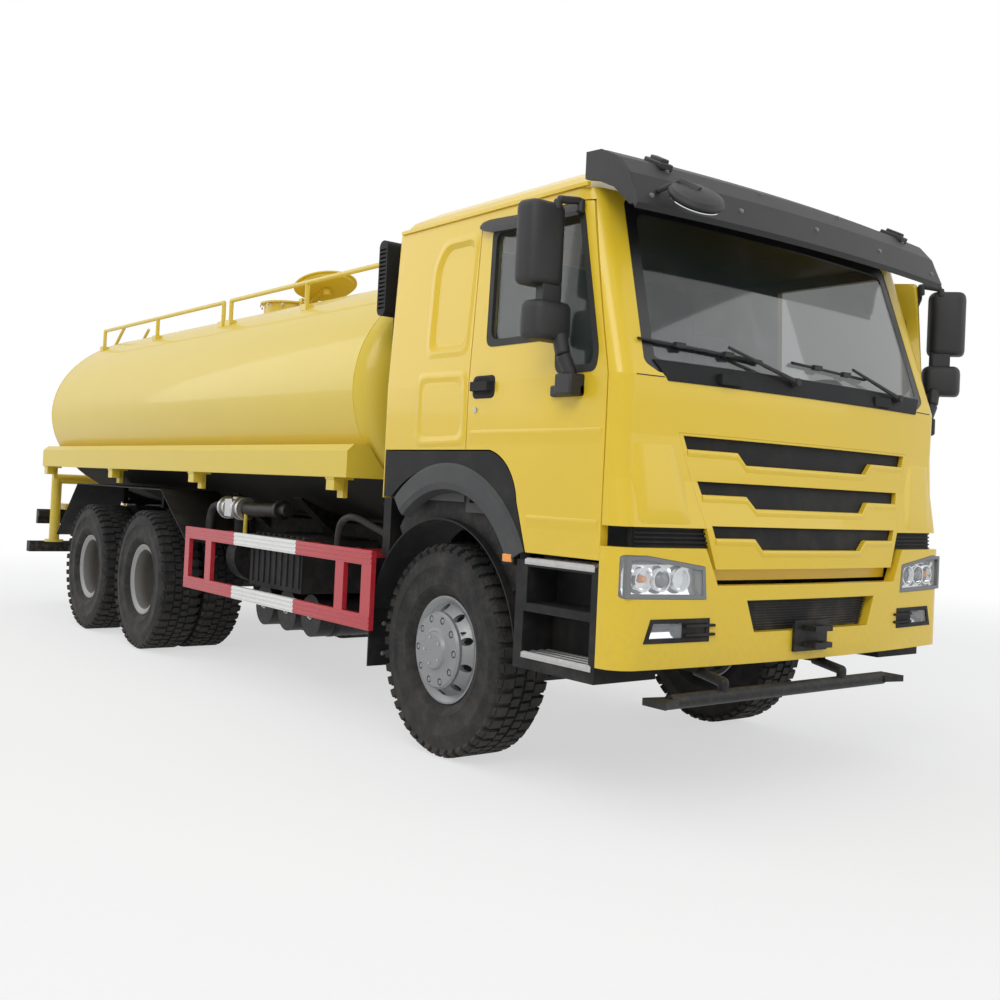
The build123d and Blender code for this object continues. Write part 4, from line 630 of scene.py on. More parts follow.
def grown(name, tree, carrier, body, finish, slot, **values):
    """Runs a node tree on a carrier mesh and keeps the result as a plain piece."""
    holder = bpy.data.objects.new(name + "_carrier", carrier)
    bpy.context.scene.collection.objects.link(holder)
    modifier = holder.modifiers.new(name, "NODES")
    modifier.node_group = tree
    for item in tree.interface.items_tree:
        key = item.name.replace(" ", "_")
        if item.item_type == "SOCKET" and item.in_out == "INPUT" and key in values:
            modifier[item.identifier] = values[key]
    depsgraph = bpy.context.evaluated_depsgraph_get()
    mesh = bpy.data.meshes.new_from_object(holder.evaluated_get(depsgraph))
    bpy.data.objects.remove(holder)
    placed(name, mesh, body, finish)


def points_mesh(name, spots):
    """A carrier with one vertex per (place, outward direction), the direction kept as an attribute."""
    mesh = bpy.data.meshes.new(name)
    mesh.from_pydata([tuple(p) for p, _ in spots], [], [])
    facing = mesh.attributes.new("facing", "FLOAT_VECTOR", "POINT")
    for k, (_, direction) in enumerate(spots):
        facing.data[k].vector = Vector(direction).normalized()
    return mesh


def bolt_recipe(material):
    """Hexagon heads on washers, standing along each point's facing."""
    recipe = Recipe("bolt heads")
    radius = recipe.value("Head Radius", 0.01)
    height = recipe.value("Head Height", 0.008)
    head = recipe.node("GeometryNodeMeshCylinder", {}, Vertices=6, Radius=radius, Depth=height)
    washer = recipe.node("GeometryNodeMeshCylinder", {}, Vertices=16, Radius=recipe.times(radius, 1.45),
                         Depth=recipe.times(height, 0.35))
    lift = recipe.node("ShaderNodeCombineXYZ", {}, Z=recipe.times(height, 0.6)).outputs[0]
    raised = recipe.node("GeometryNodeTransform", {}, Geometry=head.outputs["Mesh"], Translation=lift)
    both = recipe.node("GeometryNodeJoinGeometry", {})
    recipe.tree.links.new(raised.outputs[0], both.inputs[0])
    recipe.tree.links.new(washer.outputs["Mesh"], both.inputs[0])
    turn = recipe.node("FunctionNodeAlignRotationToVector", {"axis": "Z"}, Vector=recipe.facing("facing"))
    spread = recipe.node("GeometryNodeInstanceOnPoints", {}, Points=recipe.start.outputs[0],
                         Instance=both.outputs[0], Rotation=turn.outputs[0])
    return recipe.finish(spread.outputs[0], material)


def bolts(name, spots, body, finish, slot, radius, height):
    """Bolt heads at each (place, outward direction)."""
    tree = bolt_recipe(FINISHES[finish])
    carrier = points_mesh(name, spots)
    grown(name, tree, carrier, body, finish, slot, Head_Radius=radius, Head_Height=height)


# ------------------------------------------------------------------ tyres
TYRE_RADIUS = (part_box("front_tyre_left")[1].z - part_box("front_tyre_left")[0].z) / 2
SIDES = (("left", 1), ("right", -1))
WHEEL_SETS = tuple(
    (f"{axle}_{side}", f"{axle}_tyres_{side}", f"{axle}_{side}_wheels", way)
    for axle in ("middle", "rear") for side, way in SIDES
) + tuple((f"front_{side}", f"front_tyre_{side}", f"front_{side}_wheel", way) for side, way in SIDES)
TWIN_PITCH = 0.350


def tyre_centres(node):
    """The centre of each tyre in a node: one at the front, two side by side at the back."""
    centre = middle(node)
    low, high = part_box(node)
    if high.y - low.y < 0.4:
        return [centre]
    return [centre + Vector((0, s * TWIN_PITCH / 2, 0)) for s in (1, -1)]


def tyre_profile():
    """(radius, across) points of the casing, with its sidewall steps and rim guard."""
    r = TYRE_RADIUS
    half = [
        (r - 0.019, 0.0), (r - 0.019, 0.06), (r - 0.0205, 0.118), (r - 0.031, 0.140), (r - 0.052, 0.1485),
        (r - 0.085, 0.1525), (r - 0.090, 0.1555), (r - 0.118, 0.1575), (r - 0.122, 0.1545), (0.395, 0.1535),
        (0.352, 0.148), (0.347, 0.1505), (0.322, 0.143), (0.318, 0.138), (0.300, 0.126), (0.292, 0.112),
        (0.280, 0.106), (0.262, 0.104),
    ]
    return half + [(p, -t) for p, t in reversed(half[1:])]


def tread_recipe(material):
    """Rubber blocks standing on the casing, one size for the whole cloud."""
    recipe = Recipe("tread blocks")
    size = recipe.value("Block Size", (0.05, 0.05, 0.02), "NodeSocketVector")
    cube = recipe.node("GeometryNodeMeshCube", {}, Size=size)
    first = recipe.node("FunctionNodeAlignRotationToVector", {"axis": "Y"}, Vector=recipe.facing("across"))
    second = recipe.node("FunctionNodeAlignRotationToVector", {"axis": "Z", "pivot_axis": "Y"},
                         Rotation=first.outputs[0], Vector=recipe.facing("facing"))
    spread = recipe.node("GeometryNodeInstanceOnPoints", {}, Points=recipe.start.outputs[0],
                         Instance=cube.outputs["Mesh"], Rotation=second.outputs[0])
    return recipe.finish(spread.outputs[0], material)


# each block's size round, across and up
MIDDLE_BLOCK = (0.042, 0.050, 0.019)
OUTER_BLOCK = (0.050, 0.064, 0.019)
SHOULDER_BLOCK = (0.042, 0.030, 0.034)
# distance across, pitches, phase, size and lean over the shoulder of each ring of blocks
TREAD_BLOCKS = (
    (0.034, 60, 0.0, MIDDLE_BLOCK, 0.0),
    (-0.034, 60, 0.5, MIDDLE_BLOCK, 0.0),
    (0.100, 45, 0.25, OUTER_BLOCK, 0.0),
    (-0.100, 45, 0.75, OUTER_BLOCK, 0.0),
    (0.1405, 45, 0.25, SHOULDER_BLOCK, 0.62),
    (-0.1405, 45, 0.75, SHOULDER_BLOCK, -0.62),
)
BLOCK_SINK, SHOULDER_SINK = 0.0009, 0.0132  # how far below the tyre's radius the blocks' tops lie


def tread_cloud(name, centres, kind):
    """Points with an up and an across direction for one kind of block on some tyres."""
    across, count, phase, size, lean = kind
    spots, ups, sideways = [], [], []
    axial = Vector((0.0, 1.0, 0.0))
    for centre in centres:
        for k in range(count):
            angle = 2 * math.pi * (k + phase) / count
            ray = Vector((math.cos(angle), 0.0, math.sin(angle)))
            level = TYRE_RADIUS - size[2] / 2 - (SHOULDER_SINK if lean else BLOCK_SINK)
            spots.append(centre + ray * level + axial * across)
            ups.append((ray * math.cos(lean) + axial * math.sin(lean)).normalized())
            sideways.append((axial * math.cos(lean) - ray * math.sin(lean)).normalized())
    mesh = bpy.data.meshes.new(name)
    mesh.from_pydata([tuple(p) for p in spots], [], [])
    for label, vectors in (("facing", ups), ("across", sideways)):
        layer = mesh.attributes.new(label, "FLOAT_VECTOR", "POINT")
        for k, vector in enumerate(vectors):
            layer.data[k].vector = vector
    return mesh


def make_tyres():
    tree = tread_recipe(FINISHES["tyre_rubber"])
    for name, node, body, _ in WHEEL_SETS:
        centres = tyre_centres(node)
        shape = bmesh.new()
        for centre in centres:
            turned(shape, tyre_profile(), centre, (0, 1, 0), 96)
        casing = mesh_piece(name + "_tyre_casing", shape, body, "tyre_rubber")
        for face in casing.data.polygons:
            face.use_smooth = True
        casing.data.set_sharp_from_angle(angle=math.radians(38))
        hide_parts(node)
        for k, kind in enumerate(TREAD_BLOCKS):
            cloud = tread_cloud(f"{name}_cloud_{k}", centres, kind)
            grown(f"{name}_tread_{k}", tree, cloud, body, "tyre_rubber", "rubber_tyre", Block_Size=kind[3])


# ------------------------------------------------------------------ wheels
# circle's radius, number of bolts, phase, head's radius and height
CAP_BOLTS = (0.072, 5, 0.5, 0.008, 0.008)
WHEEL_NUTS = (0.1675, 10, 0.0, 0.017, 0.03)
HUB_BOLTS = (0.052, 8, 0.0, 0.008, 0.008)
FRONT_DISC, FRONT_CAP, REAR_DISC = 0.151, 0.195, 0.034  # distances out of the wheel's middle
REAR_HUB = TWIN_PITCH / 2 - 0.018
HUB_BOSS = ((0.0005, 0.0), (0.03, 0.0), (0.034, 0.012), (0.022, 0.03), (0.0005, 0.034))
VALVE_STEM = 0.055


def bolt_circle(name, kind, centre, way, body):
    """Bolts round an axle, facing out."""
    radius, count, phase, head, height = kind
    spots = []
    for k in range(count):
        angle = 2 * math.pi * (k + phase) / count
        place = centre + Vector((radius * math.cos(angle), 0, radius * math.sin(angle)))
        spots.append((place, (0, way, 0)))
    bolts(name, spots, body, "bolt_zinc", "silver_wheel", head, height)


def make_wheel_hardware():
    for name, node, body, way in WHEEL_SETS:
        centre, outwards = middle(node), Vector((0, way, 0))
        if name.startswith("front"):
            bolt_circle(name + "_rim_bolts", CAP_BOLTS, centre + outwards * FRONT_CAP, way, body)
            valve = centre + outwards * (FRONT_DISC - 0.05) + Vector((0.19, 0, 0.11))
        else:
            bolt_circle(name + "_wheel_nuts", WHEEL_NUTS, centre + outwards * REAR_DISC, way, body)
            hub = centre + outwards * REAR_HUB
            bolt_circle(name + "_hub_bolts", HUB_BOLTS, hub, way, body)
            shape = bmesh.new()
            turned(shape, HUB_BOSS, hub, outwards, 24)
            mesh_piece(name + "_hub_boss", shape, body, "rear_wheel_silver")
            valve = centre + outwards * (REAR_DISC + 0.03) + Vector((0.15, 0, 0.13))
        shape = bmesh.new()
        barrel(shape, valve, valve + Vector((0.004, way * VALVE_STEM, 0.003)), 0.006, 0.005, 10)
        mesh_piece(name + "_valve_stem", shape, body, "hose_black")


# ------------------------------------------------------------------ places on the cab
# height, foremost x on the centreline and half width of the cab's form
CAB_LEVELS = ((1.05, 1.528, 1.235), (1.29, 1.520, 1.235), (1.50, 1.483, 1.235), (1.70, 1.472, 1.235),
              (1.96, 1.475, 1.235), (2.835, 1.175, 1.190), (2.915, 1.060, 1.115), (2.990, 0.900, 0.975))
BOW = 18.2  # twice the front's radius in plan
DOOR_HINGE = (1.304, 1.238)
DOOR_OPEN = math.radians(-52.0)


def cab_level(z):
    """The front's x and the half width at a height."""
    for (z0, x0, y0), (z1, x1, y1) in zip(CAB_LEVELS, CAB_LEVELS[1:]):
        if z <= z1:
            share = (z - z0) / (z1 - z0)
            return x0 + (x1 - x0) * share, y0 + (y1 - y0) * share
    return CAB_LEVELS[-1][1:]


def on_front(y, z, out=0.0):
    """A point on the cab's front, or out in front of it."""
    return at(cab_level(z)[0] - y * y / BOW + out, y, z)


def on_side(x, z, out=0.0):
    """A point on the cab's right side, or out beside it."""
    return at(x, -cab_level(z)[1] - out, z)


def on_bumper(y, z, out=0.0):
    """A point on the bumper's bowed face, or out in front of it."""
    return at(1.545 - y * y / BOW + out, y, z)


STRAIGHT = Matrix.Identity(4)
MIRROR_Y = Matrix.Translation((0, 2 * AXLE.y, 0)) @ Matrix.Diagonal((1, -1, 1, 1))
LEFT_HINGE = at(*DOOR_HINGE, 0)
LEFT_DOOR = (Matrix.Translation(LEFT_HINGE) @ Matrix.Rotation(DOOR_OPEN, 4, "Z")
             @ Matrix.Translation(-LEFT_HINGE) @ MIRROR_Y)
RIGHT_FIRST = tuple(reversed(SIDES))


# ------------------------------------------------------------------ building one piece
def one_piece(name, build, body, finish, edge=0.0, instead="", matrix=STRAIGHT):
    """Builds a piece, moves it by a matrix and rounds its edges; it may stand in for a CAD node."""
    shape = bmesh.new()
    build(shape)
    shape.transform(matrix)
    piece = mesh_piece(name, shape, body, finish)
    if edge:
        soften(piece, edge)
    if instead:
        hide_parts(instead)


def on_doors(name, build, finish, edge=0.0, instead=""):
    """Builds a piece on the shut right door and its twin on the open left one."""
    for side, matrix in (("right", STRAIGHT), ("left", LEFT_DOOR)):
        node = f"{instead}_{side}" if instead else ""
        one_piece(f"{name}_{side}", build, f"{side}_door", finish, edge, node, matrix)


def on_both_sides(name, build, body, finish, edge=0.0):
    """Builds a piece on the right and its mirror image on the left."""
    for side, matrix in (("right", STRAIGHT), ("left", MIRROR_Y)):
        one_piece(f"{name}_{side}", build, body, finish, edge, matrix=matrix)


def corners(a, b):
    """The lowest and the highest corner of a box between two points."""
    return Vector([min(p) for p in zip(a, b)]), Vector([max(p) for p in zip(a, b)])


def box_at(shape, low, high):
    """A box between two corners measured from the front axle, the centreline and the road."""
    block(shape, *corners(at(*low), at(*high)))


def panel(shape, rows, closed=False):
    """A curved plate: each row is a list of (under, upper) point pairs."""
    made = [[(shape.verts.new(a), shape.verts.new(b)) for a, b in row] for row in rows]
    for above, below in zip(made, made[1:]):
        count = len(above)
        for i in range(count if closed else count - 1):
            j = (i + 1) % count
            for k, ordered in ((0, 1), (1, -1)):
                quad = [above[i][k], above[j][k], below[j][k], below[i][k]]
                shape.faces.new(quad[::ordered])
    for row in (made[0], made[-1]):
        count = len(row)
        for i in range(count if closed else count - 1):
            j = (i + 1) % count
            shape.faces.new((row[i][0], row[j][0], row[j][1], row[i][1]))
    if not closed:
        for i in (0, -1):
            for above, below in zip(made, made[1:]):
                shape.faces.new((above[i][0], above[i][1], below[i][1], below[i][0]))


def spaced(first, last, count):
    """Evenly spaced numbers, both ends among them."""
    return [first + (last - first) * k / (count - 1) for k in range(count)]


def plate(shape, place, line, rows):
    """A plate on a surface: one stretch of it at each (height, under, upper) row."""
    panel(shape, [[(place(u, z, under), place(u, z, upper)) for u in line] for z, under, upper in rows])


def slat(shape, place, line, z, half, under, upper):
    """A level bar on a surface, half its height to each side of z."""
    plate(shape, place, line, ((z - half, under, upper), (z + half, under, upper)))


def rounded(points, reach, steps=5):
    """A closed outline with each corner drawn as a curve that starts at reach from it."""
    found = []
    for k, here in enumerate(points):
        here, before, after = Vector(here), Vector(points[k - 1]), Vector(points[(k + 1) % len(points)])
        back, on = before - here, after - here
        cut = min(reach, back.length * 0.45, on.length * 0.45)
        start, end = here + back.normalized() * cut, here + on.normalized() * cut
        for i in range(steps + 1):
            t = i / steps
            found.append(tuple(start * (1 - t) ** 2 + here * 2 * t * (1 - t) + end * t * t))
    return found


def shrunk(points, by):
    """A closed outline with each corner moved inwards by a distance from both its edges."""
    area = sum(p[0] * q[1] - q[0] * p[1] for p, q in zip(points, points[1:] + points[:1]))
    way = 1.0 if area > 0 else -1.0
    found = []
    for k, here in enumerate(points):
        before, after = points[k - 1], points[(k + 1) % len(points)]
        d0 = Vector((here[0] - before[0], here[1] - before[1])).normalized()
        d1 = Vector((after[0] - here[0], after[1] - here[1])).normalized()
        n0, n1 = Vector((-d0.y, d0.x)) * way, Vector((-d1.y, d1.x)) * way
        bend = (n0 + n1) / (1.0 + n0.dot(n1))
        found.append((here[0] + bend.x * by, here[1] + bend.y * by))
    return found


def band(shape, outline, rows, place, reach=0.0, thick=0.006):
    """A moulding round an outline, through (distance inside it, height) rows laid on a surface."""
    edges = [shrunk(list(outline), inset) for inset, _ in rows]
    if reach:
        edges = [rounded(edge, reach) for edge in edges]
    first = edges[0]
    counts = [max(1, math.ceil(math.dist(p, q) / 0.06)) for p, q in zip(first, first[1:] + first[:1])]
    made = []
    for edge, (_, height) in zip(edges, rows):
        row = []
        for k, count in enumerate(counts):
            (a0, b0), (a1, b1) = edge[k], edge[(k + 1) % len(edge)]
            row += [(a0 + (a1 - a0) * i / count, b0 + (b1 - b0) * i / count) for i in range(count)]
        made.append([(place(u, v, height - thick), place(u, v, height)) for u, v in row])
    panel(shape, made, closed=True)


def ring(shape, outline, inner, outer, under, upper, place, reach=0.0):
    """A flat band round an outline, from inner to outer inside it, laid on a surface."""
    band(shape, outline, ((outer, upper), (inner, upper)), place, reach, upper - under)


def levels(shape, outline, steps):
    """A closed solid through (height, distance drawn in) steps of a plan outline."""
    rings = [[shape.verts.new(at(x, y, z)) for x, y in shrunk(outline, inset)] for z, inset in steps]
    for low, high in zip(rings, rings[1:]):
        for k in range(len(low)):
            j = (k + 1) % len(low)
            shape.faces.new((low[k], low[j], high[j], high[k]))
    for end in (rings[0], rings[-1]):
        shape.faces.new(end)


# ------------------------------------------------------------------ cab front
SCREEN = [(-1.085, 2.02), (-1.018, 2.805), (1.018, 2.805), (1.085, 2.02), (1.01, 1.978), (-1.01, 1.978)]
COWL_LEVELS = ((1.944, 0.965), (1.99, 1.00), (2.036, 1.035))  # height and half width
# pivot, elbow and the blade's two ends, as (y, z)
WIPERS = (((-0.148, 2.014), (-0.595, 2.136), (-1.10, 2.124), (-0.36, 2.095)),
          ((0.760, 2.014), (0.340, 2.128), (-0.120, 2.116), (0.48, 2.090)))
# height, inner and outer end, and height of the skin of the panels beside the grille
CORNER_LEVELS = ((1.665, 0.905, 1.150, -0.002), (1.645, 0.895, 1.150, 0.007), (1.40, 0.835, 1.150, 0.007),
                 (1.325, 0.82, 1.150, 0.007), (1.300, 0.81, 1.150, -0.002))


def make_windscreen_trim():
    def border(shape):
        ring(shape, SCREEN, 0.062, 0.001, -0.014, -0.0025, on_front, 0.06)
    one_piece("screen_border", border, "cab", "frit_black")

    def cowl(shape):
        panel(shape, [[(on_front(y, z, -0.012), on_front(y, z, 0.007)) for y in spaced(-half, half, 25)]
                      for z, half in COWL_LEVELS])
        for y in (-0.60, 0.60):
            block(shape, on_front(y - 0.07, 1.955, -0.005), on_front(y + 0.07, 2.005, 0.035))
    one_piece("screen_cowl", cowl, "cab", "trim_plastic", 0.003)

    clip = Vector((0.012, 0.03, 0.012))
    for k, (pivot, elbow, tip, tail) in enumerate(WIPERS):
        def wiper(shape):
            barrel(shape, on_front(*pivot, 0.0), on_front(*pivot, 0.05), 0.024, 0.018)
            barrel(shape, on_front(*pivot, 0.035), on_front(*elbow, 0.045), 0.012, 0.007, 10)
            barrel(shape, on_front(*tail, 0.020), on_front(*tip, 0.018), 0.006, 0.005, 8)
            blade = list(zip(spaced(tail[0], tip[0], 13), spaced(tail[1], tip[1], 13)))
            panel(shape, [[(on_front(y, z + rise, 0.002), on_front(y, z + rise, 0.016)) for y, z in blade]
                          for rise in (-0.006, 0.006)])
            for share in (0.3, 0.7):
                y, z = (tip[i] + (tail[i] - tip[i]) * share for i in (0, 1))
                middle_of_clip = on_front(y, z, 0.02)
                block(shape, middle_of_clip - clip, middle_of_clip + clip)
        one_piece(f"wiper_{k}", wiper, "cab", "hose_black")

    def vents(shape):
        for way in (-1, 1):
            slat(shape, on_front, spaced(way * 0.70, way * 1.15, 11), 1.245, 0.055, -0.05, -0.028)
            for z in spaced(1.205, 1.285, 5):
                slat(shape, on_front, spaced(way * 0.72, way * 1.14, 9), z, 0.004, -0.035, -0.016)
    one_piece("corner_vents", vents, "chassis", "trim_plastic")

    for side, way in RIGHT_FIRST:
        def corner(shape):
            rows = []
            for z, inner, outer, out in CORNER_LEVELS:
                skin = [-0.006] + [out] * 7 + [-0.006]
                rows.append([(on_front(way * y, z, -0.012), on_front(way * y, z, height))
                             for y, height in zip(spaced(inner, outer, 9), skin)])
            panel(shape, rows)
        one_piece(f"corner_panel_{side}", corner, "cab", "cab_yellow", 0.002)

        def seam(shape):
            slat(shape, on_front, spaced(way * 0.985, way * 1.14, 5), 1.9595, 0.0025, -0.010, 0.0008)
        one_piece(f"front_seam_{side}", seam, "cab", "hose_black")

    def recess(shape):
        plate(shape, on_front, spaced(-0.70, 0.70, 21),
              ((1.112, -0.030, -0.020), (1.10, -0.065, -0.055), (1.050, -0.070, -0.060)))
    one_piece("grille_recess", recess, "cab", "cab_yellow")


# top of each louvre's gap, its half width there, and its depth at the sides and in the middle
LOUVRES = ((1.706, 0.872, 0.062, 0.118), (1.503, 0.790, 0.062, 0.118), (1.302, 0.722, 0.058, 0.110))
# height above the gap's lower edge and distance out of the front, down over the lip
LIP_ROWS = ((0.003, -0.016), (0.001, 0.001), (-0.006, 0.0055), (-0.018, 0.0055), (-0.034, -0.0005))


def make_louvre_lips():
    def lips(shape):
        for top, half, shallow, deep in LOUVRES:
            bend, side_z = half * 0.6, top - shallow
            right = [(bend - deep + shallow, top - deep), (bend, side_z), (half - 0.036, side_z)]
            edge = [(-y, z) for y, z in reversed(right)] + right
            line = []
            for (y0, z0), (y1, z1) in zip(edge, edge[1:]):
                count = max(1, math.ceil((y1 - y0) / 0.08))
                line += list(zip(spaced(y0, y1, count + 1), spaced(z0, z1, count + 1)))[:-1]
            line.append(edge[-1])
            panel(shape, [[(on_front(y, z + rise, out - 0.004), on_front(y, z + rise, out)) for y, z in line]
                          for rise, out in LIP_ROWS])
    one_piece("louvre_lips", lips, "cab", "cab_yellow", 0.001)


# ------------------------------------------------------------------ visor
TREES = {}


def surface_of(node):
    """A search tree over a CAD node's surface in the row frame."""
    if node not in TREES:
        shape = bmesh.new()
        shape.from_mesh(NODES[node].data)
        shape.transform(NODES[node].matrix_world)
        TREES[node] = BVHTree.FromBMesh(shape)
        shape.free()
    return TREES[node]


def landed(node, start, way):
    """Where a ray meets a CAD node's surface, and the surface's direction there."""
    hit, normal, _, _ = surface_of(node).ray_cast(start, way)
    if hit is None:
        raise RuntimeError(f"no surface of {node} lies ahead of {start}")
    return hit, normal if normal.dot(way) < 0 else -normal


# x, height, number and half spread of each row of bolts
VISOR_BOLTS = ((1.46, 2.80, 5, 1.10), (1.33, 2.92, 4, 0.93))
DISC_OUTLINE = ((0.0005, -0.022), (0.10, -0.022), (0.128, -0.012), (0.132, 0.0), (0.12, 0.020), (0.08, 0.034),
                (0.0005, 0.038))
DISC_GLASS = ((0.0005, -0.026), (0.118, -0.026), (0.118, -0.0215), (0.0005, -0.0215))


def make_visor_hardware():
    up = Vector((0, 0, 1))
    way = -Vector((1.0, 0.0, 0.9)).normalized()
    spots = []
    for x, z, count, half in VISOR_BOLTS:
        for y in spaced(-half, half, count):
            spots.append(landed("sun_visor", at(x, y, z) - way * 0.6, way))
    bolts("visor_bolts", spots, "cab", "lamp_grey", "grey_trim", 0.009, 0.006)

    for k, y in enumerate((-0.93, 0.93)):
        foot, normal = landed("sun_visor", at(1.26, y, 3.4), -up)
        tilt = normal.to_track_quat("Z", "Y").to_matrix()

        def lamp(shape):
            for low, high in (((-0.035, -0.075, -0.012), (0.035, 0.075, 0.018)),
                              ((-0.022, -0.05, 0.012), (0.022, 0.05, 0.034))):
                block(shape, foot + Vector(low), foot + Vector(high), tilt, foot)
        one_piece(f"marker_lamp_{k}", lamp, "cab", "visor_plastic", 0.006)

        def lens(shape):
            low, high = Vector((0.010, -0.04, 0.010)), Vector((0.026, 0.04, 0.028))
            block(shape, foot + low, foot + high, tilt, foot)
        one_piece(f"marker_lens_{k}", lens, "cab", "amber_lens", 0.004)

    disc = at(1.560, -0.975, 2.742)
    slope = Vector((0.58, -0.16, 0.80)).normalized()
    knuckle = disc + Vector((-0.06, -0.05, 0.07))

    def front_mirror(shape):
        turned(shape, DISC_OUTLINE, disc, slope, 48)
        barrel(shape, disc + slope * 0.02, knuckle, 0.03, 0.02, 12)
        barrel(shape, knuckle, at(1.40, -1.06, 2.78), 0.012, 0.012, 10)
    one_piece("front_view_mirror", front_mirror, "cab", "visor_plastic", 0.002)

    def front_glass(shape):
        turned(shape, DISC_GLASS, disc, slope, 48)
    one_piece("front_view_glass", front_glass, "cab", "mirror_silver")


# ------------------------------------------------------------------ doors and mirrors
WINDOW = [(0.375, 2.735), (0.400, 2.150), (0.915, 2.150), (0.955, 2.110), (0.965, 1.985), (1.225, 1.985),
          (1.235, 2.060), (1.050, 2.735)]
HANDLE_POCKET = [(0.296, 1.876), (0.296, 1.992), (0.486, 1.992), (0.486, 1.876)]
HANDLE_BACK = [(0.305, -1.2345), (0.305, -1.2365), (0.477, -1.2365), (0.477, -1.2345)]
HANDLE_GRIP = ((0.306, -1.232), (0.3195, -1.2705), (0.4625, -1.2705), (0.476, -1.232))
# x, lower edge, upper edge, how far the lower edge stands out
DEFLECTOR_BLADE = (
    (0.244, 2.767, 2.771, 0.004), (0.27, 2.750, 2.788, 0.018), (0.32, 2.730, 2.793, 0.030),
    (0.40, 2.712, 2.790, 0.036), (0.55, 2.704, 2.782, 0.036), (0.75, 2.700, 2.775, 0.034),
    (0.95, 2.698, 2.768, 0.030), (1.06, 2.698, 2.762, 0.022),
)
# share of the blade's height, and of its reach there
DEFLECTOR_ROWS = ((0.0, 1.0), (0.35, 0.92), (0.75, 0.55), (1.0, 0.06))
# the two ends, then (height, distance out) rows down over each crease
CREASES = (
    ((0.290, 1.296), ((1.722, -0.001), (1.709, 0.004), (1.698, 0.002), (1.62, -0.001))),
    ((0.785, 1.294), ((1.313, -0.001), (1.301, 0.004), (1.290, 0.002), (1.23, -0.001))),
)
# bottom, top and plan of each mirror's housing
HOUSINGS = (
    (2.352, 2.735, rounded([(0.925, -1.262), (1.055, -1.282), (1.055, -1.474), (0.925, -1.498)], 0.05)),
    (2.105, 2.282, rounded([(0.955, -1.237), (1.090, -1.250), (1.090, -1.450), (0.955, -1.475)], 0.05)),
)
# distance from a housing's end and how far its plan is drawn in there
HOUSING_FOOT = ((0.0, 0.026), (0.004, 0.014), (0.016, 0.004), (0.034, 0.0))
HOUSING_HEAD = ((0.04, 0.0), (0.018, 0.004), (0.005, 0.014), (0.0, 0.026))


def make_door_trim():
    def rubber(shape):
        ring(shape, WINDOW, 0.020, -0.016, -0.016, 0.003, on_side, 0.055)
    on_doors("window_rubber", rubber, "hose_black")

    def handle(shape):
        band(shape, HANDLE_POCKET, ((0.0, 0.0005), (0.008, 0.006), (0.020, 0.004)), on_side, 0.035)
        levels(shape, rounded(HANDLE_BACK, 0.0005, 1), ((1.887, 0.0), (1.981, 0.0)))
        prism(shape, [at(*p, 1.913) for p in HANDLE_GRIP], (0, 0, 0.046))
    on_doors("door_handle", handle, "trim_plastic", 0.005)

    def lock(shape):
        barrel(shape, at(0.329, -1.230, 1.82), at(0.329, -1.241, 1.82), 0.014)
    on_doors("door_lock", lock, "bolt_zinc")

    def deflector(shape):
        rows = []
        for share, reach in DEFLECTOR_ROWS:
            places = [(x, low + (high - low) * share, out * reach) for x, low, high, out in DEFLECTOR_BLADE]
            rows.append([(on_side(x, z, out + 0.002), on_side(x, z, out + 0.005)) for x, z, out in places])
        panel(shape, rows)
    on_doors("rain_deflector", deflector, "visor_plastic")

    def creases(shape):
        for ends, rows in CREASES:
            plate(shape, on_side, spaced(*ends, 9), [(z, out - 0.006, out) for z, out in rows])
    on_doors("door_creases", creases, "cab_yellow", 0.001)

    def housings(shape):
        for low, high, plan in HOUSINGS:
            steps = [(low + rise, inset) for rise, inset in HOUSING_FOOT]
            levels(shape, plan, steps + [(high - drop, inset) for drop, inset in HOUSING_HEAD])
        for y in (-1.300, -1.355):
            barrel(shape, at(1.020, y, 2.27), at(1.020, y, 2.37), 0.020, sides=16)
        box_at(shape, (0.990, -1.300, 2.275), (1.045, -1.400, 2.36))
    on_doors("mirror_housings", housings, "visor_plastic", 0.003, "mirror")

    def arms(shape):
        elbow, knee = at(1.085, -1.302, 2.045), at(1.118, -1.272, 1.945)
        barrel(shape, at(1.066, -1.312, 2.14), elbow, 0.036, 0.035)
        barrel(shape, elbow, knee, 0.035, 0.031)
        box_at(shape, (0.952, -1.222, 1.862), (1.165, -1.264, 1.915))
        box_at(shape, (1.050, -1.222, 1.862), (1.165, -1.318, 1.960))
        barrel(shape, at(1.035, -1.335, 2.70), at(1.040, -1.330, 2.752), 0.024, 0.020)
        barrel(shape, at(1.040, -1.335, 2.750), at(1.062, -1.215, 2.762), 0.019, 0.017)
        barrel(shape, at(1.062, -1.218, 2.705), at(1.062, -1.215, 2.772), 0.021, 0.019)
    on_doors("mirror_arms", arms, "visor_plastic", 0.010, "mirror")

    def glasses(shape):
        for low, high, plan in HOUSINGS:
            x = min(p[0] for p in plan)
            box_at(shape, (x - 0.0025, -1.300, low + 0.035), (x + 0.005, -1.440, high - 0.035))
    on_doors("mirror_glass", glasses, "mirror_silver", 0.002)


# ------------------------------------------------------------------ pressed side panels
# outline, then (distance inside it, height) rows over the pressing's edge
PRESSINGS = (
    ("upper_pressing", [(-0.140, 2.140), (0.195, 2.140), (0.215, 2.715), (-0.060, 2.715), (-0.140, 2.600)],
     ((-0.036, 0.0), (-0.010, 0.0035), (0.0, 0.0035), (0.026, -0.0132))),
    ("lower_pressing", [(-0.200, 1.662), (-0.204, 2.004), (0.212, 1.997), (0.222, 1.669)],
     ((-0.034, -0.0005), (-0.012, 0.005), (0.0, 0.005), (0.030, -0.0008))),
)


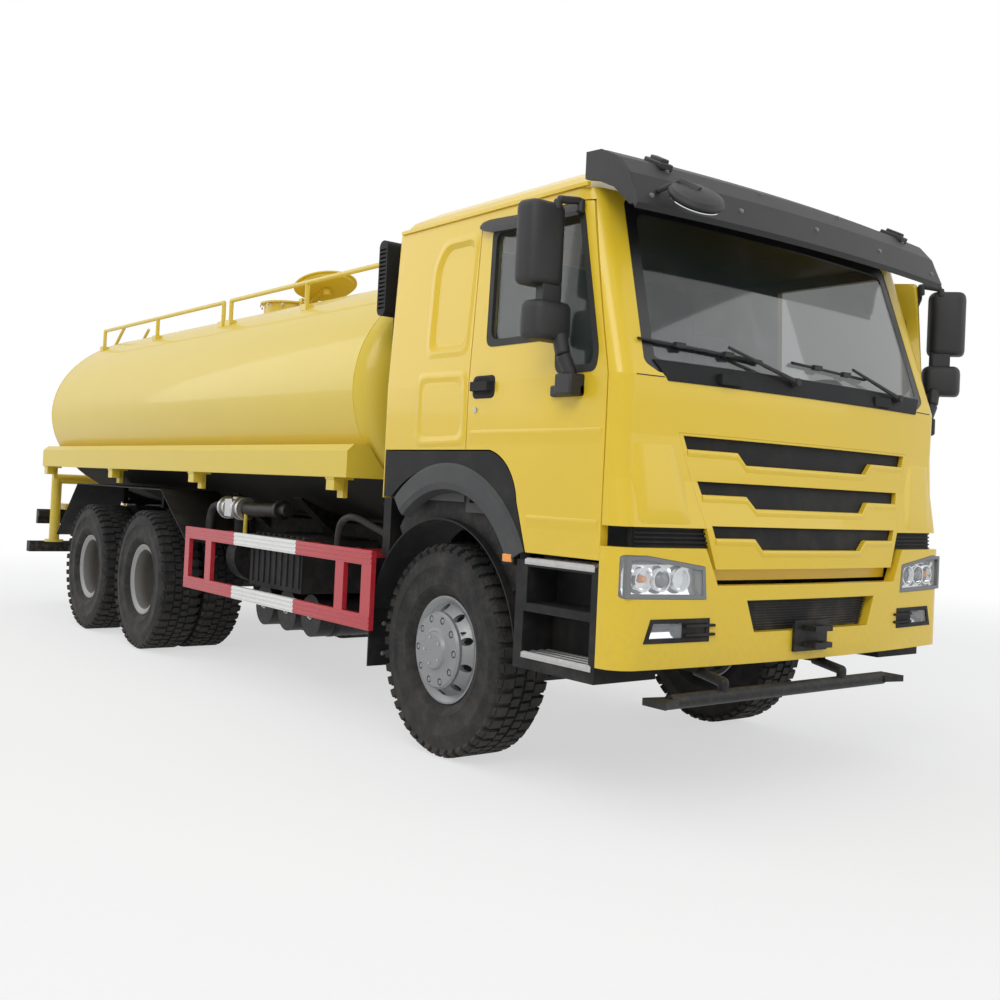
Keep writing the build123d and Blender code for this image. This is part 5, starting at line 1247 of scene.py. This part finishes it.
def make_side_pressings():
    for name, outline, rows in PRESSINGS:
        def pressing(shape):
            band(shape, outline, rows, on_side, 0.06, 0.004)
        on_both_sides(name, pressing, "cab", "cab_yellow")


# ------------------------------------------------------------------ lamps
LAMP_OUTLINE = ((0.751, 0.970), (0.765, 1.120), (1.100, 1.167), (1.20, 1.164), (1.20, 0.979))
FOG_OUTLINE = ((0.734, 0.788), (0.734, 0.882), (1.062, 0.882), (1.094, 0.788))
# height, back and front of each reflector's dished plate
LAMP_BOWL = ((0.975, -0.058, -0.038), (1.02, -0.058, -0.050), (1.08, -0.058, -0.050), (1.125, -0.058, -0.040))
FOG_BOWL = ((0.795, -0.058, -0.025), (0.835, -0.058, -0.045), (0.875, -0.058, -0.025))
# (radius, along) profiles that are turned about a line pointing forward
BOWL_RIM = ((0.048, 0.0), (0.052, 0.0), (0.054, 0.026), (0.046, 0.026))
PROJECTOR = ((0.0005, 0.0), (0.036, 0.0), (0.036, 0.020), (0.026, 0.034), (0.0005, 0.040))
FORWARD = (1, 0, 0)


def make_front_lamps():
    for side, way in RIGHT_FIRST:
        def bezel(shape):
            ring(shape, [(way * y, z) for y, z in LAMP_OUTLINE], 0.020, 0.002, -0.03, 0.0025, on_bumper)
        one_piece(f"lamp_bezel_{side}", bezel, "chassis", "lamp_grey")

        def bowl(shape):
            plate(shape, on_bumper, spaced(way * 0.755, way * 1.195, 11), LAMP_BOWL)
            for y in (0.88, 0.99, 1.09):
                turned(shape, BOWL_RIM, on_bumper(way * y, 1.058, -0.05), FORWARD, 32)
        one_piece(f"lamp_bowl_{side}", bowl, "chassis", "reflector")

        def projector(shape):
            turned(shape, PROJECTOR, on_bumper(way * 0.99, 1.058, -0.05), FORWARD, 32)
        one_piece(f"lamp_projector_{side}", projector, "chassis", "dark_lens")

        def bulb(shape):
            foot = on_bumper(way * 1.09, 1.062, -0.05)
            barrel(shape, foot, foot + Vector((0.03, 0, 0)), 0.020, 0.014, 16)
        one_piece(f"indicator_bulb_{side}", bulb, "chassis", "amber_lens", 0.003)

        def fog_back(shape):
            plate(shape, on_bumper, spaced(way * 0.89, way * 1.06, 7), FOG_BOWL)
        one_piece(f"fog_lamp_back_{side}", fog_back, "chassis", "reflector")

        def fog_trim(shape):
            ring(shape, [(way * y, z) for y, z in FOG_OUTLINE], 0.014, -0.006, -0.02, 0.003, on_bumper)
            slat(shape, on_bumper, spaced(way * 0.73, way * 0.885, 7), 0.835, 0.045, -0.02, -0.002)
            for z in (0.815, 0.855):
                slat(shape, on_bumper, spaced(way * 0.700, way * 0.875, 7), z, 0.006, -0.01, 0.012)
        one_piece(f"fog_lamp_trim_{side}", fog_trim, "chassis", "trim_plastic")

    def net(shape):
        slat(shape, on_bumper, spaced(-0.50, 0.50, 17), 0.8885, 0.0735, -0.068, -0.062)
        for z, half in zip(spaced(0.822, 0.952, 11), spaced(0.44, 0.496, 11)):
            slat(shape, on_bumper, spaced(-half, half, 17), z, 0.002, -0.052, -0.046)
    one_piece("bumper_net", net, "chassis", "hose_black")


# ------------------------------------------------------------------ steps and arches
ARCH_CENTRE = (0.10, 0.79)
# radius of the arch and distance out of the cab's side
FLARE_ROWS = ((0.762, 0.0), (0.745, 0.013), (0.66, 0.016), (0.625, 0.008), (0.61, -0.03))
LINER_CENTRE = at(0.0, 0.0, 0.54)
LINER_RADIUS = 0.708
STEP_TREADS = ((0.642, 0.668), (1.080, 1.106))  # underside and top
SKIRT_BRACKETS = (-7.08, -5.15, -3.33, -1.16)


def arch_point(radius, degrees, y):
    """A point on a circle about the wheel arch's centre."""
    angle = math.radians(degrees)
    return at(ARCH_CENTRE[0] + radius * math.cos(angle), y, ARCH_CENTRE[1] + radius * math.sin(angle))


def make_side_trim():
    def flare(shape):
        rows = []
        for radius, out in FLARE_ROWS:
            y = -1.235 - out
            rows.append([(arch_point(radius - 0.004, a, y + 0.012), arch_point(radius, a, y))
                         for a in spaced(27, 131, 41)])
        panel(shape, rows)
    # the flare wears a lighter copy of the trim's plastic: painted highlight
    on_both_sides("arch_flare", flare, "cab", "flare_plastic")

    def liner(shape):
        rows = [[], []]
        for angle in spaced(20, 145, 33):
            rim = arch_point(0.70, angle, -1.15)
            reach = rim - LINER_CENTRE
            reach.y = 0.0
            inner = LINER_CENTRE + reach.normalized() * min(LINER_RADIUS, reach.length - 0.002)
            for row, point in zip(rows, (rim, Vector((inner.x, rim.y, inner.z)))):
                row.append((point + Vector((0, 0.006, 0)), point))
        panel(shape, rows)
    on_both_sides("arch_liner", liner, "cab", "chassis_black")

    def treads(shape):
        for low, high in STEP_TREADS:
            box_at(shape, (0.80, -1.243, low), (1.300, -1.045, high))
            for y in spaced(-1.075, -1.219, 4):
                box_at(shape, (0.81, y, high - 0.002), (1.29, y - 0.022, high + 0.005))
    on_both_sides("step_treads", treads, "chassis", "tread_plate", 0.002)

    def side_lamp(shape):
        box_at(shape, (0.632, -1.236, 1.080), (0.702, -1.252, 1.118))
    on_both_sides("side_marker", side_lamp, "cab", "amber_lens", 0.003)

    def lamp_foot(shape):
        box_at(shape, (0.620, -1.20, 1.068), (0.712, -1.243, 1.130))
    on_both_sides("side_marker_foot", lamp_foot, "cab", "trim_plastic", 0.004)

    for side, way in RIGHT_FIRST:
        spots = [(at(-0.679, way * y, z), FORWARD) for z in (0.90, 0.62, 0.45) for y in (0.93, 1.10)]
        bolts(f"flap_bolts_{side}", spots, "chassis", "bolt_zinc", "silver_steel", 0.010, 0.006)

    def skirt_brackets(shape):
        for x in SKIRT_BRACKETS:
            box_at(shape, (x - 0.05, -1.16, 1.375), (x + 0.05, -1.235, 1.458))
            box_at(shape, (x - 0.035, -1.13, 1.330), (x + 0.035, -1.165, 1.458))
            box_at(shape, (x - 0.055, -1.10, 1.44), (x + 0.055, -1.24, 1.458))
    on_both_sides("skirt_lamp_brackets", skirt_brackets, "chassis", "fitting_yellow", 0.003)


# ------------------------------------------------------------------ gear under the tank
VALVE_Y, VALVE_Z = -1.0, 1.20
VALVE_FLANGES = ((-3.17, 0.085), (-3.10, 0.080), (-2.93, 0.085), (-2.85, 0.085))  # x and radius
RESERVOIRS, RESERVOIR_Z = (-1.85, -2.20, -2.55), 0.53
STRAP = ((0.1405, -0.016), (0.1445, -0.016), (0.1445, 0.016), (0.1405, 0.016))
GUARD_RAILS = (0.636, 1.003)
COVER_RIBS = 9
# name, route, radius, finish, slot, sides
HOSES = (
    ("suction_hose", ((-3.18, -1.0, 1.20), (-3.36, -1.0, 1.22), (-3.47, -1.0, 1.17), (-3.50, -1.0, 1.05),
                      (-3.50, -1.0, 0.90), (-3.44, -0.98, 0.80)), 0.032, "hose_black", "rubber_tyre", 16),
    ("air_pipe", ((-1.42, -1.02, 0.95), (-1.43, -1.02, 1.12), (-1.36, -1.02, 1.20), (-1.22, -1.02, 1.22),
                  (-1.05, -0.98, 1.16), (-0.95, -0.90, 1.10)), 0.022, "hose_black", "rubber_tyre", 12),
    ("drain_strap", ((-2.80, -1.02, 1.17), (-2.79, -1.03, 1.06), (-2.80, -1.02, 0.99)), 0.016,
     "fitting_yellow", "yellow_paint", 8),
)


def make_side_gear():
    low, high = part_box("battery_box")
    side, top = low.y, high.z
    pitch = (high.x - low.x) / COVER_RIBS

    def cover(shape):
        for x in spaced(low.x + pitch / 2, high.x - pitch / 2, COVER_RIBS):
            block(shape, (x - 0.016, side + 0.02, top - 0.004), (x + 0.016, side + 0.50, top + 0.014))
            block(shape, (x - 0.016, side - 0.008, low.z + 0.03), (x + 0.016, side + 0.004, top - 0.02))
        block(shape, (low.x - 0.01, side - 0.012, top - 0.06), (high.x + 0.01, side + 0.55, top + 0.002))
    one_piece("battery_cover", cover, "chassis", "trim_plastic", 0.004)

    def along(shape, x0, x1, radius, z0=VALVE_Z, z1=VALVE_Z):
        barrel(shape, at(x0, VALVE_Y, z0), at(x1, VALVE_Y, z1), radius)

    def valve(shape):
        along(shape, -3.17, -2.84, 0.060)
        for x, radius in VALVE_FLANGES:
            along(shape, x - 0.012, x + 0.012, radius)
        box_at(shape, (-3.075, -0.93, 1.135), (-2.955, -1.07, 1.268))
        barrel(shape, at(-3.015, VALVE_Y, 1.26), at(-3.015, VALVE_Y, 1.285), 0.03)
    one_piece("valve_body", valve, "chassis", "tank_aluminium", 0.004)

    def outlet(shape):
        along(shape, -2.29, -2.25, 0.070, 1.214, 1.214)
        along(shape, -2.25, -2.16, 0.045, 1.214, 1.214)
        along(shape, -2.84, -2.29, 0.05, VALVE_Z, 1.21)
    one_piece("valve_outlet", outlet, "chassis", "gear_black", 0.002)

    for name, route, radius, finish, slot, sides in HOSES:
        tube(name, [at(*point) for point in route], radius, "chassis", finish, sides)

    plugs = [(at(x, -0.963, RESERVOIR_Z), (0, -1, 0)) for x in RESERVOIRS]
    bolts("reservoir_plugs", plugs, "chassis", "bolt_zinc", "silver_steel", 0.018, 0.014)

    def guard_ribs(shape):
        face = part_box("side_guards")[0].y - AXLE.y
        for rail in GUARD_RAILS:
            for z in (rail - 0.027, rail, rail + 0.027):
                box_at(shape, (-3.338, face + 0.003, z - 0.006), (-0.602, face - 0.004, z + 0.006))
    on_both_sides("guard_ribs", guard_ribs, "chassis", "guard_stripes", 0.002)

    def straps(shape):
        for x in RESERVOIRS:
            for y in (-0.46, -0.82):
                turned(shape, STRAP, at(x, y, RESERVOIR_Z), (0, 1, 0), 40)
    one_piece("reservoir_straps", straps, "chassis", "chassis_black")


# ------------------------------------------------------------------ tank and rear
TANK_HALF = (1.200, 0.870)
TANK_Z = 2.0
HEAD_SEAMS = (-1.004, -7.096)
COLLAR, COLLAR_BOLTS = at(-4.31, 0, 2.975), 12
# distance from the centreline and finish of each tail lens
TAIL_LENSES = ((0.80, "red_lens"), (0.93, "amber_lens"), (1.06, "red_lens"))


def oval_ring(shape, x, width, proud, count=96):
    """A thin band round the tank's oval."""
    rows = []
    for dx in (-width / 2, width / 2):
        row = []
        for k in range(count):
            angle = 2 * math.pi * k / count
            y, z = TANK_HALF[0] * math.cos(angle), TANK_HALF[1] * math.sin(angle)
            out = Vector((0, math.cos(angle) / TANK_HALF[0], math.sin(angle) / TANK_HALF[1])).normalized()
            base = at(x + dx, y, TANK_Z + z)
            row.append((base - out * 0.004, base + out * proud))
        rows.append(row)
    panel(shape, rows, closed=True)


def make_tank_details():
    def seams(shape):
        for x in HEAD_SEAMS:
            oval_ring(shape, x, 0.012, 0.0022)
    one_piece("tank_welds", seams, "chassis", "tank_yellow")

    spots = []
    for k in range(COLLAR_BOLTS):
        angle = 2 * math.pi * (k + 0.5) / COLLAR_BOLTS
        out = Vector((math.cos(angle), math.sin(angle), 0.0))
        spots.append((COLLAR + out * 0.281 - Vector((0, 0, 0.035)), out))
    bolts("collar_bolts", spots, "chassis", "bolt_zinc", "silver_steel", 0.009, 0.006)

    rear_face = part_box("tail_lamps")[0].x - AXLE.x
    for side, way in RIGHT_FIRST:
        for k, (y, finish) in enumerate(TAIL_LENSES):
            def lens(shape):
                box_at(shape, (rear_face - 0.0005, way * (y - 0.055), 0.868),
                       (rear_face + 0.012, way * (y + 0.055), 0.992))
            one_piece(f"tail_lens_{side}_{k}", lens, "chassis", finish, 0.004)


# ------------------------------------------------------------------ cab inside
def cushion(name, low, high, turn=0.0):
    """A stuffed pad with rounded corners and a soft crown."""
    shape = bmesh.new()
    a, b = corners(at(*low), at(*high))
    centre, half = (a + b) / 2, (b - a) / 2
    bmesh.ops.create_cube(shape, size=2.0)
    bmesh.ops.subdivide_edges(shape, edges=shape.edges, cuts=7, use_grid_fill=True)
    tilt = Matrix.Rotation(turn, 3, "Y")
    for vert in shape.verts:
        flat = Vector([max(-0.8, min(0.8, c)) for c in vert.co])
        rest = vert.co - flat
        if rest.length > 0:
            flat += rest.normalized() * 0.2
        vert.co = centre + tilt @ Vector([flat[i] * half[i] for i in range(3)])
    piece = mesh_piece(name, shape, "cab", "seat_cloth")
    for face in piece.data.polygons:
        face.use_smooth = True
    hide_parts("seats_and_bunk")


def make_cab_inside():
    for side, way in SIDES:
        cushion(f"seat_cushion_{side}", (0.17, way * 0.465, 1.495), (0.69, way * 0.945, 1.628))
        cushion(f"seat_back_{side}", (0.09, way * 0.475, 1.60), (0.225, way * 0.935, 2.24), -0.11)
        cushion(f"seat_headrest_{side}", (0.075, way * 0.60, 2.25), (0.155, way * 0.81, 2.45), -0.05)
    cushion("bunk_mattress", (-0.525, -1.13, 1.70), (-0.10, 1.13, 1.825))

    def frames(shape):
        for _, way in SIDES:
            box_at(shape, (0.26, way * 0.525, 1.352), (0.60, way * 0.885, 1.50))
            box_at(shape, (-0.51, way * 0.48, 1.404), (-0.11, way * 1.08, 1.705))
            for y in (0.66, 0.75):
                barrel(shape, at(0.13, way * y, 2.21), at(0.115, way * y, 2.30), 0.006, sides=10)
    one_piece("seat_frames", frames, "cab", "inside_plastic", 0.01, "seats_and_bunk")

    def lining(shape):
        box_at(shape, (-0.525, -1.15, 1.84), (-0.515, 1.15, 2.86))
    one_piece("rear_lining", lining, "cab", "inside_plastic", 0.003)

    def hood(shape):
        box_at(shape, (1.06, 0.50, 1.985), (1.22, 0.92, 2.04))
        for y in (-0.75, -0.25, 0.25):
            box_at(shape, (1.05, y - 0.10, 1.90), (1.075, y + 0.10, 1.955))
    one_piece("instrument_hood", hood, "cab", "inside_plastic", 0.012)


# ------------------------------------------------------------------ stage
EYE = (5.048, -4.549, 1.423)  # from the front axle, the centreline and the road
LOOK_AZIMUTH, LOOK_RISE, ROLL = math.radians(140.01), math.radians(0.98), math.radians(2.61)
LENS, SENSOR, SHIFT = 41.01, 36.0, (-0.0705, -0.0264)
MID_X = -2.5  # about the truck's middle
# name, place, size, share of the key light's power, colour
LAMPS = (
    ("key_light", (7.0, -9.0, 9.0), 6.0, 1.0, (1.0, 0.98, 0.95)),
    ("fill_light", (9.0, 7.0, 6.0), 7.0, 0.35, (0.95, 0.97, 1.0)),
    ("top_light", (-3.0, -2.0, 11.0), 9.0, 0.45, (1.0, 1.0, 1.0)),
    ("rear_light", (-12.0, -7.0, 6.0), 7.0, 0.4, (1.0, 1.0, 1.0)),
)


def seen_share(tree):
    """1 on what the camera sees, straight, mirrored or through glass, and 0 on what only lights."""
    rays = tree.nodes.new("ShaderNodeLightPath")
    share = rays.outputs["Is Camera Ray"]
    for name in ("Is Glossy Ray", "Is Transmission Ray"):
        either = tree.nodes.new("ShaderNodeMath")
        either.operation = "MAXIMUM"
        tree.links.new(share, either.inputs[0])
        tree.links.new(rays.outputs[name], either.inputs[1])
        share = either.outputs[0]
    return share


def mixed(tree, share, first, second, end):
    """Ends a tree in two shaders mixed by a share."""
    mix = tree.nodes.new("ShaderNodeMixShader")
    for source, socket in ((share, 0), (first.outputs[0], 1), (second.outputs[0], 2)):
        tree.links.new(source, mix.inputs[socket])
    tree.links.new(mix.outputs[0], end.inputs["Surface"])


def make_camera():
    """The view from low at the front right, rolled a little."""
    camera = bpy.data.cameras.new("view")
    camera.lens = LENS
    camera.sensor_width = SENSOR
    camera.shift_x, camera.shift_y = SHIFT
    camera.clip_end = 200.0
    eye = bpy.data.objects.new("view", camera)
    bpy.context.scene.collection.objects.link(eye)
    level = math.cos(LOOK_RISE)
    ahead = Vector((level * math.cos(LOOK_AZIMUTH), level * math.sin(LOOK_AZIMUTH), math.sin(LOOK_RISE)))
    right = ahead.cross(Vector((0, 0, 1))).normalized()
    up = right.cross(ahead)
    tilted_right = math.cos(ROLL) * right + math.sin(ROLL) * up
    tilted_up = -math.sin(ROLL) * right + math.cos(ROLL) * up
    turn = Matrix((tilted_right, tilted_up, -ahead)).transposed()
    eye.matrix_world = Matrix.Translation(at(*EYE)) @ turn.to_4x4()
    bpy.context.scene.camera = eye


def make_floor():
    """A pale floor that takes the truck's shadow and fades into the white behind."""
    pale = Finish("studio_floor")
    grain = pale.noise(30.0, 3.0)
    pale.set(Base_Color=pale.blend(grain, (0.80, 0.80, 0.80), (0.84, 0.84, 0.84)), Roughness=0.9)
    away = pale.node("VectorMath", {"operation": "DISTANCE"}, pale.place, at(MID_X, 0, 0))
    glow = pale.tree.nodes.new("ShaderNodeEmission")
    share = (away.ramp(5.0, 14.0) * 0.4 + 0.6) * Value(pale, seen_share(pale.tree))
    mixed(pale.tree, share.socket, pale.shader, glow, pale.tree.nodes["Material Output"])
    shape = bmesh.new()
    bmesh.ops.create_grid(shape, x_segments=1, y_segments=1, size=60.0)
    mesh = bpy.data.meshes.new("studio_floor")
    shape.to_mesh(mesh)
    shape.free()
    mesh.materials.append(pale.material)
    floor = bpy.data.objects.new("studio_floor", mesh)
    bpy.context.scene.collection.objects.link(floor)


def make_lights(look):
    """A soft sky, white where it is seen, and four large lamps."""
    world = bpy.data.worlds.new("soft_sky")
    world.use_nodes = True
    bpy.context.scene.world = world
    sky = world.node_tree.nodes["Background"]
    sky.inputs["Color"].default_value = (0.93, 0.96, 1.0, 1.0)
    sky.inputs["Strength"].default_value = look.sky_strength
    white = world.node_tree.nodes.new("ShaderNodeBackground")
    white.inputs["Color"].default_value = (1.0, 1.0, 1.0, 1.0)
    mixed(world.node_tree, seen_share(world.node_tree), sky, white, world.node_tree.nodes["World Output"])
    for name, place, size, share, colour in LAMPS:
        lamp = bpy.data.lights.new(name, "AREA")
        lamp.size = size
        lamp.energy = look.key_power * share
        lamp.color = colour
        holder = bpy.data.objects.new(name, lamp)
        bpy.context.scene.collection.objects.link(holder)
        holder.location = at(*place)
        aim = at(MID_X, 0, 1.4) - at(*place)
        holder.rotation_euler = aim.to_track_quat("-Z", "Y").to_euler()
    bpy.context.scene.view_settings.view_transform = "Standard"


# ------------------------------------------------------------------ add-on
class TruckLook(bpy.types.PropertyGroup):
    """Colours and light levels that a user would change."""

    body_yellow: FloatVectorProperty(name="Cab yellow", description="Enamel of the cab", subtype="COLOR",
                                     size=3, min=0.0, max=1.0, default=(0.80, 0.555, 0.03))
    tank_yellow: FloatVectorProperty(name="Tank yellow", description="Enamel of the tank and its fittings",
                                     subtype="COLOR", size=3, min=0.0, max=1.0, default=(0.74, 0.555, 0.055))
    white_band: FloatProperty(name="White band", description="Length of the white middle of each side guard",
                              unit="LENGTH", default=0.93, min=0.0)
    sky_strength: FloatProperty(name="Sky", description="Strength of the soft sky", default=0.56, min=0.0)
    key_power: FloatProperty(name="Key light", description="Power of the main lamp in watts",
                             default=520.0, min=0.0)


class TRUCK_OT_paint(bpy.types.Operator):
    """Gives every CAD piece its finish"""

    bl_idname = "truck.paint"
    bl_label = "Paint the CAD pieces"

    def execute(self, context):
        FINISHES.update(make_finishes(context.scene.truck_look))
        for finish, nodes in NODE_FINISHES:
            for node in nodes:
                slots = NODES[node].data.materials
                slots.clear()
                slots.append(FINISHES[finish])
        return {"FINISHED"}


class TRUCK_OT_tyres(bpy.types.Operator):
    """Makes the tyres' casings and tread blocks"""

    bl_idname = "truck.tyres"
    bl_label = "Tyres"

    def execute(self, context):
        make_tyres()
        return {"FINISHED"}


class TRUCK_OT_wheel_hardware(bpy.types.Operator):
    """Adds nuts, hub bolts and valve stems to the wheels"""

    bl_idname = "truck.wheel_hardware"
    bl_label = "Wheel hardware"

    def execute(self, context):
        make_wheel_hardware()
        return {"FINISHED"}


class TRUCK_OT_screen(bpy.types.Operator):
    """Adds the windscreen's border, cowl and wipers, the corner panels and the vents"""

    bl_idname = "truck.screen"
    bl_label = "Windscreen trim"

    def execute(self, context):
        make_windscreen_trim()
        return {"FINISHED"}


class TRUCK_OT_louvres(bpy.types.Operator):
    """Adds the rounded lips below the grille's gaps"""

    bl_idname = "truck.louvres"
    bl_label = "Louvre lips"

    def execute(self, context):
        make_louvre_lips()
        return {"FINISHED"}


class TRUCK_OT_visor(bpy.types.Operator):
    """Adds the visor's bolts, marker lamps and front view mirror"""

    bl_idname = "truck.visor"
    bl_label = "Visor hardware"

    def execute(self, context):
        make_visor_hardware()
        return {"FINISHED"}


class TRUCK_OT_doors(bpy.types.Operator):
    """Adds window rubbers, handles, locks, deflectors, creases and mirrors"""

    bl_idname = "truck.doors"
    bl_label = "Door trim"

    def execute(self, context):
        make_door_trim()
        return {"FINISHED"}


class TRUCK_OT_pressings(bpy.types.Operator):
    """Adds the pressed edges of the panels behind the doors"""

    bl_idname = "truck.pressings"
    bl_label = "Pressed side panels"

    def execute(self, context):
        make_side_pressings()
        return {"FINISHED"}


class TRUCK_OT_lamps(bpy.types.Operator):
    """Fills the front lamps behind their clear covers and the bumper's opening"""

    bl_idname = "truck.lamps"
    bl_label = "Front lamps"

    def execute(self, context):
        make_front_lamps()
        return {"FINISHED"}


class TRUCK_OT_sides(bpy.types.Operator):
    """Adds arch flares and liners, step treads, side lamps, flap bolts and skirt brackets"""

    bl_idname = "truck.sides"
    bl_label = "Side trim"

    def execute(self, context):
        make_side_trim()
        return {"FINISHED"}


class TRUCK_OT_gear(bpy.types.Operator):
    """Adds the valve, hoses, battery cover, guard ribs and reservoir straps"""

    bl_idname = "truck.gear"
    bl_label = "Side gear"

    def execute(self, context):
        make_side_gear()
        return {"FINISHED"}


class TRUCK_OT_tank(bpy.types.Operator):
    """Adds weld seams, collar bolts and tail lenses"""

    bl_idname = "truck.tank"
    bl_label = "Tank details"

    def execute(self, context):
        make_tank_details()
        return {"FINISHED"}


class TRUCK_OT_inside(bpy.types.Operator):
    """Furnishes the cab with seats, bunk and instruments"""

    bl_idname = "truck.inside"
    bl_label = "Cab inside"

    def execute(self, context):
        make_cab_inside()
        return {"FINISHED"}


class TRUCK_OT_stage(bpy.types.Operator):
    """Sets the floor, the lights and the camera"""

    bl_idname = "truck.stage"
    bl_label = "Stage"

    def execute(self, context):
        make_camera()
        make_floor()
        make_lights(context.scene.truck_look)
        return {"FINISHED"}


OPERATORS = (
    TRUCK_OT_paint, TRUCK_OT_tyres, TRUCK_OT_wheel_hardware, TRUCK_OT_screen, TRUCK_OT_louvres,
    TRUCK_OT_visor, TRUCK_OT_doors, TRUCK_OT_pressings, TRUCK_OT_lamps, TRUCK_OT_sides,
    TRUCK_OT_gear, TRUCK_OT_tank, TRUCK_OT_inside, TRUCK_OT_stage,
)


class TRUCK_PT_panel(bpy.types.Panel):
    """Lists the truck's steps in the sidebar"""

    bl_idname = "TRUCK_PT_panel"
    bl_label = "Tanker truck"
    bl_space_type = "VIEW_3D"
    bl_region_type = "UI"
    bl_category = "Tanker"

    def draw(self, context):
        look = context.scene.truck_look
        for key in ("body_yellow", "tank_yellow", "white_band", "sky_strength", "key_power"):
            self.layout.prop(look, key)
        for operator in OPERATORS:
            self.layout.operator(operator.bl_idname)


CLASSES = (TruckLook, *OPERATORS, TRUCK_PT_panel)


def register():
    for cls in CLASSES:
        bpy.utils.register_class(cls)
    bpy.types.Scene.truck_look = PointerProperty(type=TruckLook)


def unregister():
    del bpy.types.Scene.truck_look
    for cls in reversed(CLASSES):
        bpy.utils.unregister_class(cls)


def main():
    register()
    for operator in OPERATORS:
        group, name = operator.bl_idname.split(".")
        getattr(getattr(bpy.ops, group), name)()


if __name__ == "__main__":
    main()
